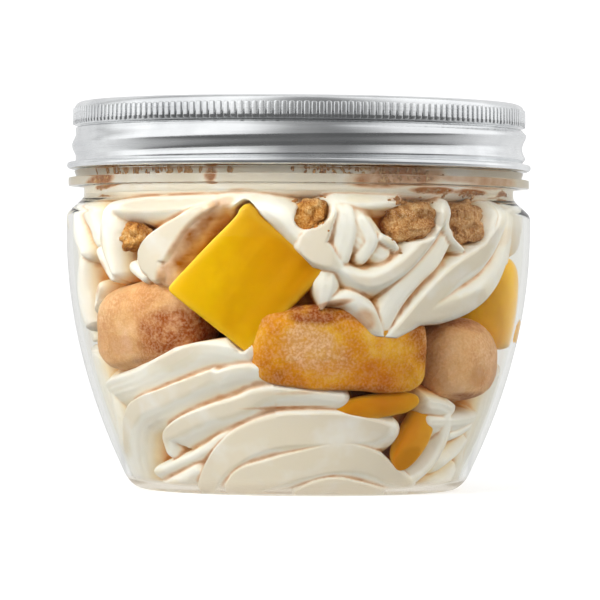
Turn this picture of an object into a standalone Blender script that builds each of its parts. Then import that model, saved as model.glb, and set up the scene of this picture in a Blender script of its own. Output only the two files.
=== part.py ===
"""Mango tiramisu in a clear jar with a screwed-on aluminium lid.

The jar stands on z = 0 with its axis on Z, and its front faces -Y. Everything inside is placed
by an angle round that axis (0 at the front, positive towards +X) and a height, both of which
follow the wall, because each piece of the dessert is pressed against the wall when it is filled.
"""
import math

import bmesh
import bpy
import numpy as np
from mathutils import Matrix, Vector, noise

MM = 0.001

# Jar: a bowl that curves in towards its foot, a shoulder, a neck and a collar (mm)
BODY_R = 43.0
BODY_CURVE = 0.0054
BODY_STRAIGHT_Z = 48.0
FOOT_R = 28.2
WALL = 1.15
FLOOR = 1.2
CORNER_Z, CORNER_IN = 3.2, 1.6
NECK_R = 39.85
SHOULDER_Z = 50.2
NECK_Z = 54.4
COLLAR_R, COLLAR_LOW, COLLAR_HIGH = 42.75, 56.0, 57.4
BEAD_R, BEAD_LOW, BEAD_HIGH = 42.5, 57.9, 58.7
RIM_Z = 70.2

# Lid: thin sheet with a grip band on top, a rolled thread and a curled lower edge (mm)
LID_TOP = 71.4
LID_BOTTOM = 59.0
LID_SHEET = 0.6
GRIP_R, GRIP_LOW, GRIP_HIGH = 42.0, 67.1, 70.4
WAIST_R = 41.45
CURL_R = 43.05
THREAD_PITCH = 4.8
THREAD_HEIGHT = 0.7
THREAD_FRONT_Z = 64.5
THREAD_LOW, THREAD_HIGH = 60.6, 66.6

# Contents (mm)
GAP = 0.3
CREAM_GAP = 0.45
FILL_TOP = 64.0
MIDDLE_Z = 30.0
DEEPEST_FOLD = 6.0
FOLD_DROP = 3.0
TURN_STEPS = 36
CREAM_STEPS = 62

JAR_PLASTIC = ("clear_plastic", "#EEF2F2", 0.04, 0.0)
ALUMINIUM = ("aluminium", "#C9CBCC", 0.28, 1.0)
CREAM = ("mascarpone_cream", "#F1ECDF", 0.5, 0.0)
SPONGE = ("ladyfinger", "#D9935A", 0.8, 0.0)
SOAKED = ("soaked_ladyfinger", "#C07A1C", 0.6, 0.0)
MANGO = ("mango", "#E6A80A", 0.35, 0.0)
CRUMB = ("biscuit", "#A97048", 0.85, 0.0)

# Folds of the piped cream. Each is a crest on the wall: a power (2 round, 4 flat with steep sides),
# the widths left and right of the crest over which it falls by FOLD_DROP, and points along it as
# (angle, height, depth behind the wall). A depth below 0 is cream pressed flat on the wall.
BASE_FOLDS = (
    (2, 1.6, 5.0, ((-76, 19.4, 1.6), (-45, 22.5, 0.2), (-15, 26.5, 0.3))),
    (2, 1.0, 5.0, ((-74, 3.6, 0.2), (-64, 12, -0.3), (-50, 17, -0.3), (-23, 22, -0.1))),
    (2, 1.1, 4.0, ((-22, 22, 0), (-15, 23, 0.1), (-8, 22.8, 0.4))),
    (2, 1.5, 4.2, ((-44, 8, 0.2), (-41, 12, -0.1), (-24, 15.8, -0.2), (12, 18, 0.3))),
    (2, 1.6, 1.6, ((-54, 4, 0.3), (-33, 7.5, 0.7), (-12, 13.8, 0.8))),
    (2, 2.0, 2.0, ((-55, 1, 0.5), (-43, 2.6, 0.2), (-35, 4.6, 0.4))),
    (2, 2.4, 4.8, ((-34, 1.5, -0.5), (-22, 8.8, -0.9), (-3, 13, -0.9), (29, 12.4, 0))),
    (2, 2.1, 4.4, ((-23, 1.7, -0.5), (-9, 5.2, -1), (14, 8, -1), (43, 2, 0.2))),
    (2, 1.1, 3.0, ((1, 1.2, -0.4), (13, 3, -0.5), (31, 1, -0.3))),
    (2, 2.3, 1.9, ((50, 14, 0.5), (50, 8, 0.1), (36, 1.6, 0.4))),
    (2, 2.1, 1.2, ((51, 10.5, 0.6), (58, 11, 0.6), (67, 12.3, 1))),
    (2, 2.0, 2.0, ((57, 6, 0.8), (62, 7.4, 0.8), (69, 9.5, 1.2))),
    (2, 2.4, 2.0, ((58, 1, 0.5), (65, 2.3, 0.7), (72, 4, 1.3))),
    (2, 2.0, 3.0, ((80, 2, 1.6), (74, 8, 1.6), (72, 13, 1.6))),
    (2, 1.3, 4.0, ((45, 13.6, 0.3), (55, 13.8, 0.4), (71, 14.3, 1.4))),
    (2, 3.0, 2.5, ((-75, 19, 1.7), (-78, 11, 0.9), (-77, 4, 0.3))),
    (2, 3.0, 3.0, ((88, 3, 1.7), (86, 12, 1.7), (88, 23, 1.6))),
    (2, 3.0, 3.0, ((-90, 3, 1.7), (-86, 12, 1.7), (-88, 25, 1.6))),
)
TOP_FOLDS = (
    (2, 4.0, 4.0, ((-80, 52, 1.6), (-68, 49, 1.4), (-63, 45.7, 1.2))),
    (2, 4.6, 1.4, ((-56, 50.7, 0.2), (-57, 46, 0), (-54, 40, 0.6))),
    (4, 1.5, 1.5, ((-61, 43.5, 1), (-58, 41.3, 0.9), (-55, 39, 1))),
    (4, 1.5, 1.8, ((-64, 37, 1.7), (-68, 33.7, 1.6), (-69, 29.3, 1.7))),
    (4, 3.4, 3.0, ((-22, 51.6, 0.2), (-34, 46, -0.6), (-39, 42.6, -0.7), (-38, 40, -0.3))),
    (4, 1.6, 1.6, ((-47, 40.8, 1.3), (-45, 40, 1.2), (-43, 39.2, 1.2))),
    (2, 3.0, 2.6, ((-57, 51.4, 0.4), (-40, 51.4, -0.2), (-23, 52.2, 0.2))),
    (2, 3.4, 3.6, ((-21, 53, 0.8), (-9, 52, 0.3), (0, 46.4, 0.6))),
    (4, 2.8, 2.4, ((7, 52, 0), (3.5, 46.5, -0.6), (8, 41.4, 0))),
    (4, 3.6, 4.0, ((13, 52.5, 0.6), (14, 48, 0.4), (13.5, 44.5, 0.5))),
    (2, 3.0, 2.6, ((10, 53, 0.2), (17, 53, 0.1), (26, 53, 0.4))),
    (2, 2.2, 2.4, ((10.2, 40.8, 0.3), (19.4, 38.8, -0.3), (32.4, 45.5, -0.2), (40, 52.6, 0.2))),
    (4, 2.4, 3.0, ((22.3, 31, 0.7), (30.5, 39.6, 0.8), (40.1, 46.2, 1))),
    (3, 2.2, 2.1, ((8.7, 35.4, 1), (15, 34.8, 0), (22, 29, 0.3))),
    (3, 1.5, 4.0, ((24, 28.9, 0.2), (35.2, 37.2, -0.3), (51.3, 44.5, -0.1), (62, 53, 0.5))),
    (4, 3.3, 2.4, ((33, 33, 0), (51, 37.4, 0.1), (65, 45.4, 1), (68, 50.6, 1.2))),
    (4, 2.0, 1.9, ((6, 39, 1.6), (6, 37, 1.4), (5, 34.8, 1.6))),
    (2, 2.4, 2.4, ((71, 52.3, 0.9), (72, 48, 1.4), (71, 42.3, 1.7))),
    (2, 3.0, 3.0, ((-82, 55, 0.6), (-43, 55.2, 0.3), (-6, 55.6, 0.2))),
    (2, 3.0, 3.0, ((-3, 55.2, 0.6), (11, 55.2, 0), (29, 55.3, 0.3))),
    (2, 2.4, 3.0, ((35, 55.2, 1.6), (52, 54.8, 1.7), (77, 54.4, 1.4))),
    (2, 3.0, 3.0, ((-90, 30, 1.7), (-85, 38, 1.6), (-90, 52, 1.6))),
    (2, 3.0, 3.0, ((90, 45, 1.7), (84, 49, 1.6), (90, 54, 1.6))),
)

# Height of the base cream's upper edge and of the top cream's lower edge, by angle (deg, mm)
BASE_EDGE = ((-90, 26.5), (-78, 24), (-72, 22.3), (-50, 23.3), (-35, 26.6), (-16, 28.9),
             (-12, 27), (-6, 19.6), (10, 18.6), (34, 18.3), (50, 16.4), (68, 17.4), (90, 25.5))
TOP_EDGE = ((-90, 26.9), (-80, 28), (-73, 31), (-64, 36), (-54, 38), (-36, 37.8), (-15, 36),
            (2, 33.4), (12, 32), (19, 29), (26, 28.6), (33, 30.8), (50, 31.2), (59, 34), (74, 42),
            (90, 44.2))

# Pieces: name, finish, angle, height, half length, half height, half depth, tilt, squareness
FINGERS = (
    ("ladyfinger_left", SPONGE, -50.5, 30.6, 15.8, 8.0, 7.6, 7.0, 3.0),
    ("ladyfinger_middle", SOAKED, 12.4, 26.7, 17.7, 7.5, 7.0, -2.5, 4.2),
    ("ladyfinger_right", SPONGE, 60.2, 24.5, 10.4, 7.5, 7.0, 2.0, 2.7),
)
MANGO_PIECES = (
    ("mango_side", MANGO, 81.2, 34.8, 5.8, 8.6, 5.5, 0.0, 4.0),
    ("mango_slice_upper", MANGO, 24.4, 16.1, 8.6, 2.0, 1.9, 5.0, 2.3),
    ("mango_slice_lower", MANGO, 37.0, 10.3, 5.9, 2.8, 2.1, 54.0, 2.4),
)
CHUNKS = (
    ("biscuit_chunk_1", CRUMB, -47.2, 46.4, 3.1, 2.4, 2.2, 35.0, 2.2),
    ("biscuit_chunk_2", CRUMB, 3.2, 50.2, 3.5, 2.3, 2.4, 25.0, 2.2),
    ("biscuit_chunk_3", CRUMB, 31.0, 49.2, 5.2, 3.5, 3.2, 10.0, 2.4),
    ("biscuit_chunk_4", CRUMB, 50.5, 49.0, 4.6, 4.0, 3.4, 0.0, 2.4),
)
CUBE_ANGLE, CUBE_Z = -13.8, 39.1
CUBE_SIZE = (20.9, 17.4, 13.0)
CUBE_SET_BACK = 2.2
CUBE_TILT = 46.0
CUBE_LEAN = 7.0
CUBE_SKEW = -0.1
CHUNK_ROUGHNESS = 0.16


def clear_scene():
    for obj in list(bpy.data.objects):
        bpy.data.objects.remove(obj, do_unlink=True)


def new_collection(name):
    collection = bpy.data.collections.new(name)
    bpy.context.scene.collection.children.link(collection)
    return collection


def linear(hex_colour):
    """A colour written in hex, as the linear values that a shader takes."""
    values = [int(hex_colour[i:i + 2], 16) / 255 for i in (1, 3, 5)]
    return [v / 12.92 if v <= 0.04045 else ((v + 0.055) / 1.055) ** 2.4 for v in values] + [1.0]


def material_of(finish):
    name, colour, roughness, metallic = finish
    made = bpy.data.materials.get(name)
    if made is None:
        made = bpy.data.materials.new(name)
        made.use_nodes = True
        shader = made.node_tree.nodes["Principled BSDF"]
        shader.inputs["Base Color"].default_value = linear(colour)
        shader.inputs["Roughness"].default_value = roughness
        shader.inputs["Metallic"].default_value = metallic
        if name == JAR_PLASTIC[0]:
            shader.inputs["Transmission Weight"].default_value = 1.0
    return made


def add_object(name, bm, collection, finish):
    """Makes the bmesh, whose points are in millimetres, an object of its own in metres."""
    bmesh.ops.scale(bm, vec=(MM, MM, MM), verts=bm.verts)
    bmesh.ops.recalc_face_normals(bm, faces=bm.faces)
    mesh = bpy.data.meshes.new(name)
    bm.to_mesh(mesh)
    bm.free()
    mesh.shade_smooth()
    obj = bpy.data.objects.new(name, mesh)
    if finish:
        mesh.materials.append(material_of(finish))
    collection.objects.link(obj)
    return obj


def add_turned(name, profile, collection, finish):
    """A profile of (radius, height), turned round Z by a Screw modifier."""
    bm = bmesh.new()
    points = [bm.verts.new((r, 0, z)) for r, z in profile]
    for low, high in zip(points, points[1:]):
        bm.edges.new((low, high))
    obj = add_object(name, bm, collection, finish)
    turn = obj.modifiers.new("turn", "SCREW")
    turn.steps = turn.render_steps = TURN_STEPS
    turn.use_merge_vertices = True
    turn.merge_threshold = 0.00001
    return obj


def applied(obj):
    """Replaces the object's mesh by its evaluated one and drops its modifiers."""
    graph = bpy.context.evaluated_depsgraph_get()
    mesh = bpy.data.meshes.new_from_object(obj.evaluated_get(graph))
    obj.modifiers.clear()
    obj.data = mesh
    return obj


def jar_outside(z):
    """Radius of the jar's outer wall from its foot up to the shoulder."""
    return BODY_R - BODY_CURVE * max(0.0, BODY_STRAIGHT_Z - z) ** 2


def wall_inside(z):
    """Radius of the jar's inner wall at a height, or at an array of heights."""
    z = np.asarray(z, float)
    body = BODY_R - WALL - BODY_CURVE * np.maximum(0.0, BODY_STRAIGHT_Z - z) ** 2
    body = body - CORNER_IN * np.clip((CORNER_Z - z) / 2, 0, 1) ** 2
    slope = np.clip((z - SHOULDER_Z) / (NECK_Z - SHOULDER_Z), 0, 1)
    neck = NECK_R - WALL
    return neck + (body - neck) * (1 + np.cos(math.pi * slope)) / 2


def build_jar(collection):
    body_heights = np.linspace(CORNER_Z, BODY_STRAIGHT_Z, 9)
    shoulder_heights = np.linspace(SHOULDER_Z, NECK_Z, 5)
    inside = [(0, FLOOR)]
    inside += [(float(wall_inside(z)), z) for z in (FLOOR, FLOOR + 0.8, *body_heights)]
    inside += [(float(wall_inside(z)), z) for z in shoulder_heights]
    inside += [(NECK_R - WALL, RIM_Z)]
    shoulder = [(float(wall_inside(z)) + WALL, z) for z in shoulder_heights[::-1]]
    collar = [(NECK_R, COLLAR_LOW), (COLLAR_R, COLLAR_LOW + 0.15), (COLLAR_R, COLLAR_HIGH - 0.15),
              (NECK_R + 0.9, COLLAR_HIGH)]
    bead = [(NECK_R + 0.9, BEAD_LOW), (BEAD_R, BEAD_LOW + 0.3), (BEAD_R, BEAD_HIGH - 0.3),
            (NECK_R, BEAD_HIGH)]
    outside = [(NECK_R, RIM_Z)] + bead[::-1] + collar[::-1] + shoulder
    outside += [(jar_outside(z), z) for z in body_heights[::-1]]
    outside += [(31.4, 1.6), (30.4, 0.5), (FOOT_R, 0), (0, 0)]
    return add_turned("jar", inside + outside, collection, JAR_PLASTIC)


def thread_lift(angle, z):
    """How far the rolled thread stands out at an angle in degrees and a height."""
    lift = 0.0
    for turn in (-1, 0, 1):
        crest = THREAD_FRONT_Z + THREAD_PITCH * (angle / 360 + turn)
        away = min(abs(z - crest) / (THREAD_PITCH * 0.46), 1.0)
        lift = max(lift, (1 + math.cos(math.pi * away)) / 2)
    ends = min(z - THREAD_LOW, THREAD_HIGH - z) / 0.8
    return THREAD_HEIGHT * lift * min(max(ends, 0.0), 1.0)


def build_lid(collection):
    thread_rows = np.linspace(THREAD_HIGH, THREAD_LOW, 8)
    inside_r = WAIST_R - LID_SHEET
    outside = [(0, LID_TOP - 0.3), (36.0, LID_TOP - 0.3), (37.0, LID_TOP), (40.4, LID_TOP),
               (41.5, LID_TOP - 0.4), (GRIP_R, GRIP_HIGH), (GRIP_R, GRIP_LOW)]
    outside += [(WAIST_R, z) for z in thread_rows]
    outside += [(CURL_R - 0.6, 60.3), (CURL_R, 59.7), (CURL_R - 0.4, LID_BOTTOM)]
    inside = [(inside_r, LID_BOTTOM + 0.1)]
    inside += [(inside_r, z) for z in thread_rows[::-1][1:-1]]
    inside += [(inside_r, GRIP_LOW + 0.3), (inside_r, LID_TOP - 0.3 - LID_SHEET - 0.3),
               (inside_r - 0.5, LID_TOP - 0.3 - LID_SHEET), (0, LID_TOP - 0.3 - LID_SHEET)]
    lid = applied(add_turned("lid", outside + inside, collection, ALUMINIUM))
    for vertex in lid.data.vertices:
        x, y, z = (value / MM for value in vertex.co)
        if THREAD_LOW < z < THREAD_HIGH:
            radius = math.hypot(x, y)
            angle = math.degrees(math.atan2(x, -y))
            stretch = (radius + thread_lift(angle, z)) / radius
            vertex.co.x *= stretch
            vertex.co.y *= stretch
    lid.data.shade_smooth()
    return lid


def smooth_path(points, steps=4):
    """Points along a smooth curve through the given ones."""
    held = np.array(points, float)
    held = np.vstack([2 * held[0] - held[1], held, 2 * held[-1] - held[-2]])
    path = []
    for a, b, c, d in zip(held, held[1:], held[2:], held[3:]):
        for t in np.arange(steps) / steps:
            path.append(0.5 * (2 * b + (c - a) * t + (2 * a - 5 * b + 4 * c - d) * t * t
                               + (3 * b - a - 3 * c + d) * t ** 3))
    path.append(held[-2])
    return np.array(path)


def both_sides(folds):
    """The folds of the front and their mirror images round the back."""
    back = [(power, right, left, tuple((180 - a, z, depth) for a, z, depth in path))
            for power, left, right, path in folds]
    return list(folds) + back


def fold_depth(angle, height, folds):
    """How far the cream lies behind the wall, at arrays of angles and heights."""
    depth = np.full(angle.shape, 99.0)
    for power, left, right, points in folds:
        path = smooth_path(points)
        middle = path[len(path) // 2, 0]
        per_degree = math.radians(1) * float(wall_inside(path[:, 1].mean()))
        across = ((angle - middle + 180) % 360 - 180) * per_degree
        path[:, 0] = (path[:, 0] - middle) * per_degree
        nearest = np.full(angle.shape, 1e9)
        found = np.full(angle.shape, 99.0)
        for a, b in zip(path, path[1:]):
            run, rise = b[0] - a[0], b[1] - a[1]
            share = (across - a[0]) * run + (height - a[1]) * rise
            share = np.clip(share / (run * run + rise * rise), 0, 1)
            off_x = across - a[0] - share * run
            off_z = height - a[1] - share * rise
            away = np.hypot(off_x, off_z)
            width = np.where(run * off_z - rise * off_x > 0, left, right)
            here = a[2] + share * (b[2] - a[2]) + FOLD_DROP * (away / width) ** power
            found = np.where(away < nearest, here, found)
            nearest = np.minimum(away, nearest)
        depth = np.minimum(depth, found)
    return np.clip(depth, 0, DEEPEST_FOLD)


def edge_height(angle, edge):
    """Height of an edge at an angle. The back repeats the front's edge, mirrored."""
    turned = (angle + 90) % 360 - 90
    turned = np.where(turned > 90, 180 - turned, turned)
    return np.interp(turned, [a for a, _ in edge], [z for _, z in edge])


def build_cream(name, collection, folds, low, high, low_middle, high_middle, rows):
    """A body of piped cream: a ball whose rows become its underside, its wall side and its top."""
    below, beside, above = rows
    total = below + beside + above
    bm = bmesh.new()
    bmesh.ops.create_uvsphere(bm, u_segments=CREAM_STEPS, v_segments=total, radius=1)
    bm.verts.ensure_lookup_table()
    ball = np.array([v.co for v in bm.verts])
    angle = np.degrees(np.arctan2(ball[:, 0], -ball[:, 1]))
    row = (np.arcsin(np.clip(ball[:, 2], -1, 1)) / math.pi + 0.5) * total
    up = np.clip((row - below) / beside, 0, 1)
    bottom, top = low(angle), high(angle)
    height = bottom + (top - bottom) * up
    radius = wall_inside(height) - CREAM_GAP - fold_depth(angle, height, both_sides(folds))
    under = np.clip(row / below, 0, 1)
    over = np.clip((total - row) / above, 0, 1)
    radius = radius * np.minimum(under, over)
    height = np.where(row < below, low_middle + (bottom - low_middle) * under ** 2, height)
    height = np.where(row > below + beside, high_middle + (top - high_middle) * over ** 2, height)
    turn = np.radians(angle)
    for vertex, r, t, z in zip(bm.verts, radius, turn, height):
        vertex.co = Vector((r * math.sin(t), -r * math.cos(t), z))
    return add_object(name, bm, collection, CREAM)


def press_to_wall(bm):
    """Holds every point of a piece inside the jar."""
    for vertex in bm.verts:
        radius = math.hypot(vertex.co.x, vertex.co.y)
        most = float(wall_inside(vertex.co.z)) - GAP
        if radius > most:
            vertex.co.x *= most / radius
            vertex.co.y *= most / radius


def add_piece(piece, collection, mirrored, grow=0.0, rough=0.0, steps=(12, 8)):
    """A rounded piece that follows the wall and is pressed flat where it meets it."""
    name, finish, angle, z, length, tall, deep, tilt, square = piece
    if mirrored:
        name, angle, tilt = name + "_back", 180 - angle, -tilt
    bm = bmesh.new()
    if rough:
        bmesh.ops.create_icosphere(bm, subdivisions=2, radius=1)
    else:
        bmesh.ops.create_uvsphere(bm, u_segments=steps[0], v_segments=steps[1], radius=1)
    middle_r = float(min(wall_inside(z), wall_inside(z + 0.8 * tall))) - GAP - deep * 0.93
    lean = math.radians(tilt)
    for vertex in bm.verts:
        n = vertex.co.normalized()
        n = n / (abs(n.x) ** square + abs(n.y) ** square + abs(n.z) ** square) ** (1 / square)
        if rough:
            n = n * (1 + CHUNK_ROUGHNESS * noise.noise(n * 2.3 + Vector((angle, z, 0))))
        along = n.z * (length + grow)
        up = n.y * (tall + grow)
        out = n.x * (deep + grow)
        turned = along * math.cos(lean) - up * math.sin(lean)
        lifted = along * math.sin(lean) + up * math.cos(lean)
        turn = math.radians(angle) + turned / float(wall_inside(z))
        radius = middle_r + out
        vertex.co = Vector((radius * math.sin(turn), -radius * math.cos(turn), z + lifted))
    if not grow:
        press_to_wall(bm)
    return add_object(name, bm, collection, finish)


def add_cube(name, collection, mirrored, grow=0.0):
    """A block of mango set on one corner, a little skewed, with one face towards the wall."""
    bm = bmesh.new()
    bmesh.ops.create_cube(bm, size=1)
    size = [edge + 2 * grow for edge in CUBE_SIZE]
    bmesh.ops.scale(bm, vec=(size[0], size[2], size[1]), verts=bm.verts)
    bmesh.ops.bevel(bm, geom=bm.edges, offset=0.9, segments=1, affect="EDGES")
    for vertex in bm.verts:
        vertex.co.x += CUBE_SKEW * vertex.co.z
    out = float(wall_inside(CUBE_Z)) - GAP - CUBE_SET_BACK - CUBE_SIZE[2] / 2
    place = Matrix.Rotation(math.radians(CUBE_ANGLE), 4, "Z")
    place = place @ Matrix.Translation((0, -out, CUBE_Z))
    place = place @ Matrix.Rotation(math.radians(-CUBE_TILT), 4, "Y")
    place = place @ Matrix.Rotation(math.radians(CUBE_LEAN), 4, "X")
    bmesh.ops.transform(bm, matrix=place, verts=bm.verts)
    if mirrored:
        bmesh.ops.scale(bm, vec=(1, -1, 1), verts=bm.verts)
    if not grow:
        press_to_wall(bm)
    return add_object(name, bm, collection, MANGO)


def hide_cutter(cutter):
    cutter.hide_render = True
    cutter.display_type = "WIRE"


def cut(obj, cutters, solver="EXACT"):
    """Takes the cutters out of the object, one Boolean after another."""
    for cutter in cutters:
        modifier = obj.modifiers.new("clear of " + cutter.name, "BOOLEAN")
        modifier.operation = "DIFFERENCE"
        modifier.solver = solver
        modifier.object = cutter


def main():
    clear_scene()
    parts = new_collection("mango_tiramisu_jar")
    cutting = new_collection("cutters")
    build_jar(parts)
    build_lid(parts)

    cubes, cube_cutters, fingers, cutters = [], [], [], []
    for mirrored in (False, True):
        side = "_back" if mirrored else ""
        cubes.append(add_cube("mango_cube" + side, parts, mirrored))
        cube_cutters.append(add_cube("cut_cube" + side, cutting, mirrored, grow=GAP))
        for piece in FINGERS:
            fingers.append(add_piece(piece, parts, mirrored))
            cutters.append(add_piece(("cut_" + piece[0], *piece[1:]), cutting, mirrored, GAP))
        for piece in MANGO_PIECES:
            add_piece(piece, parts, mirrored, steps=(12, 6))
            named = ("cut_" + piece[0], *piece[1:])
            cutters.append(add_piece(named, cutting, mirrored, GAP, steps=(12, 6)))
        for piece in CHUNKS:
            add_piece(piece, parts, mirrored, rough=1.0)
            named = ("cut_" + piece[0], *piece[1:])
            cutters.append(add_piece(named, cutting, mirrored, GAP * 2.5, rough=1.0))
    for cutter in cube_cutters + cutters:
        hide_cutter(cutter)
    for finger in fingers:
        if "left" in finger.name or "middle" in finger.name:
            back = finger.name.endswith("_back")
            cut(finger, [cube_cutters[1 if back else 0]])

    base = build_cream("cream_base", parts, BASE_FOLDS,
                       low=lambda angle: np.full(angle.shape, FLOOR + GAP),
                       high=lambda angle: edge_height(angle, BASE_EDGE),
                       low_middle=FLOOR + GAP, high_middle=MIDDLE_Z - GAP, rows=(1, 11, 2))
    top = build_cream("cream_top", parts, TOP_FOLDS,
                      low=lambda angle: edge_height(angle, TOP_EDGE),
                      high=lambda angle: np.full(angle.shape, 58.0),
                      low_middle=MIDDLE_Z, high_middle=FILL_TOP, rows=(2, 11, 2))
    low_cutters = [c for c in cutters if "chunk" not in c.name]
    high_cutters = [c for c in cutters if "slice" not in c.name]
    # The pieces lie so close together that EXACT can lose a body here, and MANIFOLD doesn't.
    cut(base, cube_cutters + low_cutters, solver="MANIFOLD")
    cut(top, cube_cutters + high_cutters, solver="MANIFOLD")


main()
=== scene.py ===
# %% [markdown]
# # Mango tiramisu in a screw-top jar
# A clear bowl-shaped jar is filled with piped mascarpone cream, ladyfinger biscuits, blocks and
# slices of mango and lumps of biscuit, and closed with an aluminium lid. Every piece of food is
# pressed against the wall as the jar is filled, so each one is placed by an angle round the jar's
# axis (0 at the front, positive to the right) and a height.
#
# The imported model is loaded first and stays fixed. The finished pieces stand where its nodes are
# and take their place in view.

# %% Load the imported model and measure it
import math

import bmesh
import bpy
import numpy as np
from mathutils import Matrix, Vector, noise


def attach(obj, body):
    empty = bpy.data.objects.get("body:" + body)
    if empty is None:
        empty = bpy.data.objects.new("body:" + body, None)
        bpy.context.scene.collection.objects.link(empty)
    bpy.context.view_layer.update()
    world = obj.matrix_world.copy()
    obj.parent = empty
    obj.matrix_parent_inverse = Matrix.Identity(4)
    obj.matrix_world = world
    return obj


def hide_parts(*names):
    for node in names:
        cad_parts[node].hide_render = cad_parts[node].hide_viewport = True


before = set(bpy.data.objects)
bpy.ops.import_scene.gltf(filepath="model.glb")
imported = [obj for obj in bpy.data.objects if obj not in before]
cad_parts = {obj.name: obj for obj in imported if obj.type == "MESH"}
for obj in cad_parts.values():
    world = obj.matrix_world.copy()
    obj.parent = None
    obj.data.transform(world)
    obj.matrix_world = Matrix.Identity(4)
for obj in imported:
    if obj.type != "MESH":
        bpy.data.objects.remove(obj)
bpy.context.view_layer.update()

MM = 0.001

# %% [markdown]
# ## Camera
# A jar like this is photographed from close to its own middle height with a long lens, so that its
# sides stay nearly upright. The camera stands three quarters of a metre away at the height of the
# ladyfingers and looks level. It could look down a little instead, but then the foot would show
# its ellipse. A small shift of the film brings the jar to its place in the frame, and the camera
# is turned by less than half a degree, so that the jar leans a little, as one set down by hand.

# %% Place the camera
PIXELS_WIDE = 600
PIXELS_PER_MM = 5.38
PIXELS_RIGHT, PIXELS_UP = 2, -15
CAMERA_AWAY, EYE_HEIGHT = 757.0, 37.8
SENSOR = 36.0
ROLL = -0.43

scene = bpy.context.scene
camera = bpy.data.objects.new("camera", bpy.data.cameras.new("camera"))
scene.collection.objects.link(camera)
camera.data.sensor_width = SENSOR
camera.data.lens = SENSOR * CAMERA_AWAY / (PIXELS_WIDE / PIXELS_PER_MM)
camera.data.clip_start, camera.data.clip_end = 0.01, 20.0
camera.data.shift_x, camera.data.shift_y = PIXELS_RIGHT / PIXELS_WIDE, PIXELS_UP / PIXELS_WIDE
camera.location = (0, -CAMERA_AWAY * MM, EYE_HEIGHT * MM)
camera.rotation_euler = (math.radians(90), math.radians(ROLL), 0)
scene.camera = camera
print("lens, mm:", round(camera.data.lens, 1))

# %% [markdown]
# ## Helpers for nodes and colours
# Materials, the sky and the Geometry Nodes below are all node trees, so one small function adds a
# node, sets its properties and fills or links its inputs. Colours are written as they are picked on
# a screen, in sRGB hex, and one function turns them into the linear light that shaders work in.

# %% Add a node, turn a colour linear
def linear(hex_colour):
    """A colour in sRGB hex, as the four linear values that a shader takes."""
    values = [int(hex_colour[i:i + 2], 16) / 255 for i in (1, 3, 5)]
    return [v / 12.92 if v <= 0.04045 else ((v + 0.055) / 1.055) ** 2.4 for v in values] + [1.0]


def add_node(tree, kind, settings=None, inputs=None):
    """Adds a node. A ramp's stops are given among the settings, as (place, colour) pairs."""
    node = tree.nodes.new(kind)
    for name, value in (settings or {}).items():
        if name != "stops":
            setattr(node, name, value)
            continue
        elements = node.color_ramp.elements
        while len(elements) < len(value):
            elements.new(0.5)
        for element, (place, colour) in zip(elements, value):
            element.position = place
            element.color = linear(colour) if isinstance(colour, str) else [colour] * 3 + [1]
    for name, value in (inputs or {}).items():
        if isinstance(value, bpy.types.NodeSocket):
            tree.links.new(value, node.inputs[name])
        else:
            node.inputs[name].default_value = value
    return node


def new_material(name, **sockets):
    """A material, its tree and its Principled shader, whose plain sockets are set by name."""
    material = bpy.data.materials.new(name)
    material.use_nodes = True
    shader = material.node_tree.nodes["Principled BSDF"]
    for socket, value in sockets.items():
        shader.inputs[socket.replace("_", " ")].default_value = value
    return material, material.node_tree, shader


# %% [markdown]
# ## Floor and studio light
# The jar stands on a plain white table that curves up into a white backdrop, so no edge shows
# behind it. The table is a strip with a quarter circle at its back, which is simpler than a box and
# has no corner for shadows to gather in. The light is a large soft panel at the upper left, a
# weaker one at the right and the white room itself. A metal lid shows its surroundings more than
# its own colour, so mirror rays see a studio with a bright panel on each side and a dark gap in
# front, where the camera stands. They see the table dark in front of the jar too, bright behind it
# and bright within a few centimetres. Rays that have passed the jar's wall see the same table.

# %% Make the table and backdrop
FLOOR_HALF, FLOOR_BACK, FLOOR_FRONT, SWEEP = 2.2, 1.0, -1.6, 0.7
TABLE_GLOW = 0.4
DARK_IN_FRONT, BRIGHT_BEHIND = 0.12, 0.85
section = [(FLOOR_FRONT, 0.0), (FLOOR_BACK, 0.0)]
section += [(FLOOR_BACK + SWEEP * math.sin(a), SWEEP * (1 - math.cos(a)))
            for a in np.linspace(0, math.pi / 2, 25)[1:]]
section.append((FLOOR_BACK + SWEEP, 2.4))
floor_mesh = bpy.data.meshes.new("table")
floor_points = [(x, y, z) for y, z in section for x in (-FLOOR_HALF, FLOOR_HALF)]
floor_faces = [(2 * i, 2 * i + 1, 2 * i + 3, 2 * i + 2) for i in range(len(section) - 1)]
floor_mesh.from_pydata(floor_points, [], floor_faces)
floor_mesh.shade_smooth()
floor = bpy.data.objects.new("table", floor_mesh)
scene.collection.objects.link(floor)
paint, tree, shader = new_material(
    "matt_white_paint", Roughness=0.9, Base_Color=linear("#F4F4F4"),
    Emission_Color=linear("#FFFFFF"), Emission_Strength=TABLE_GLOW)
path = add_node(tree, "ShaderNodeLightPath")
place = add_node(tree, "ShaderNodeTexCoord")
along = add_node(tree, "ShaderNodeSeparateXYZ", inputs={0: place.outputs["Object"]})
near_to_far = add_node(tree, "ShaderNodeMapRange", inputs={
    "Value": along.outputs["Y"], "From Min": -0.1, "From Max": 0.04, "To Min": DARK_IN_FRONT,
    "To Max": BRIGHT_BEHIND})
close_by = add_node(tree, "ShaderNodeMapRange", inputs={
    "Value": path.outputs["Ray Length"], "From Min": 0.05, "From Max": 0.02,
    "To Max": BRIGHT_BEHIND})
brightness = add_node(tree, "ShaderNodeMath", {"operation": "MAXIMUM"}, {
    0: near_to_far.outputs[0], 1: close_by.outputs[0]})
mirrored_table = add_node(tree, "ShaderNodeEmission", inputs={
    "Color": linear("#FFFFFF"), "Strength": brightness.outputs[0]})
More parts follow.
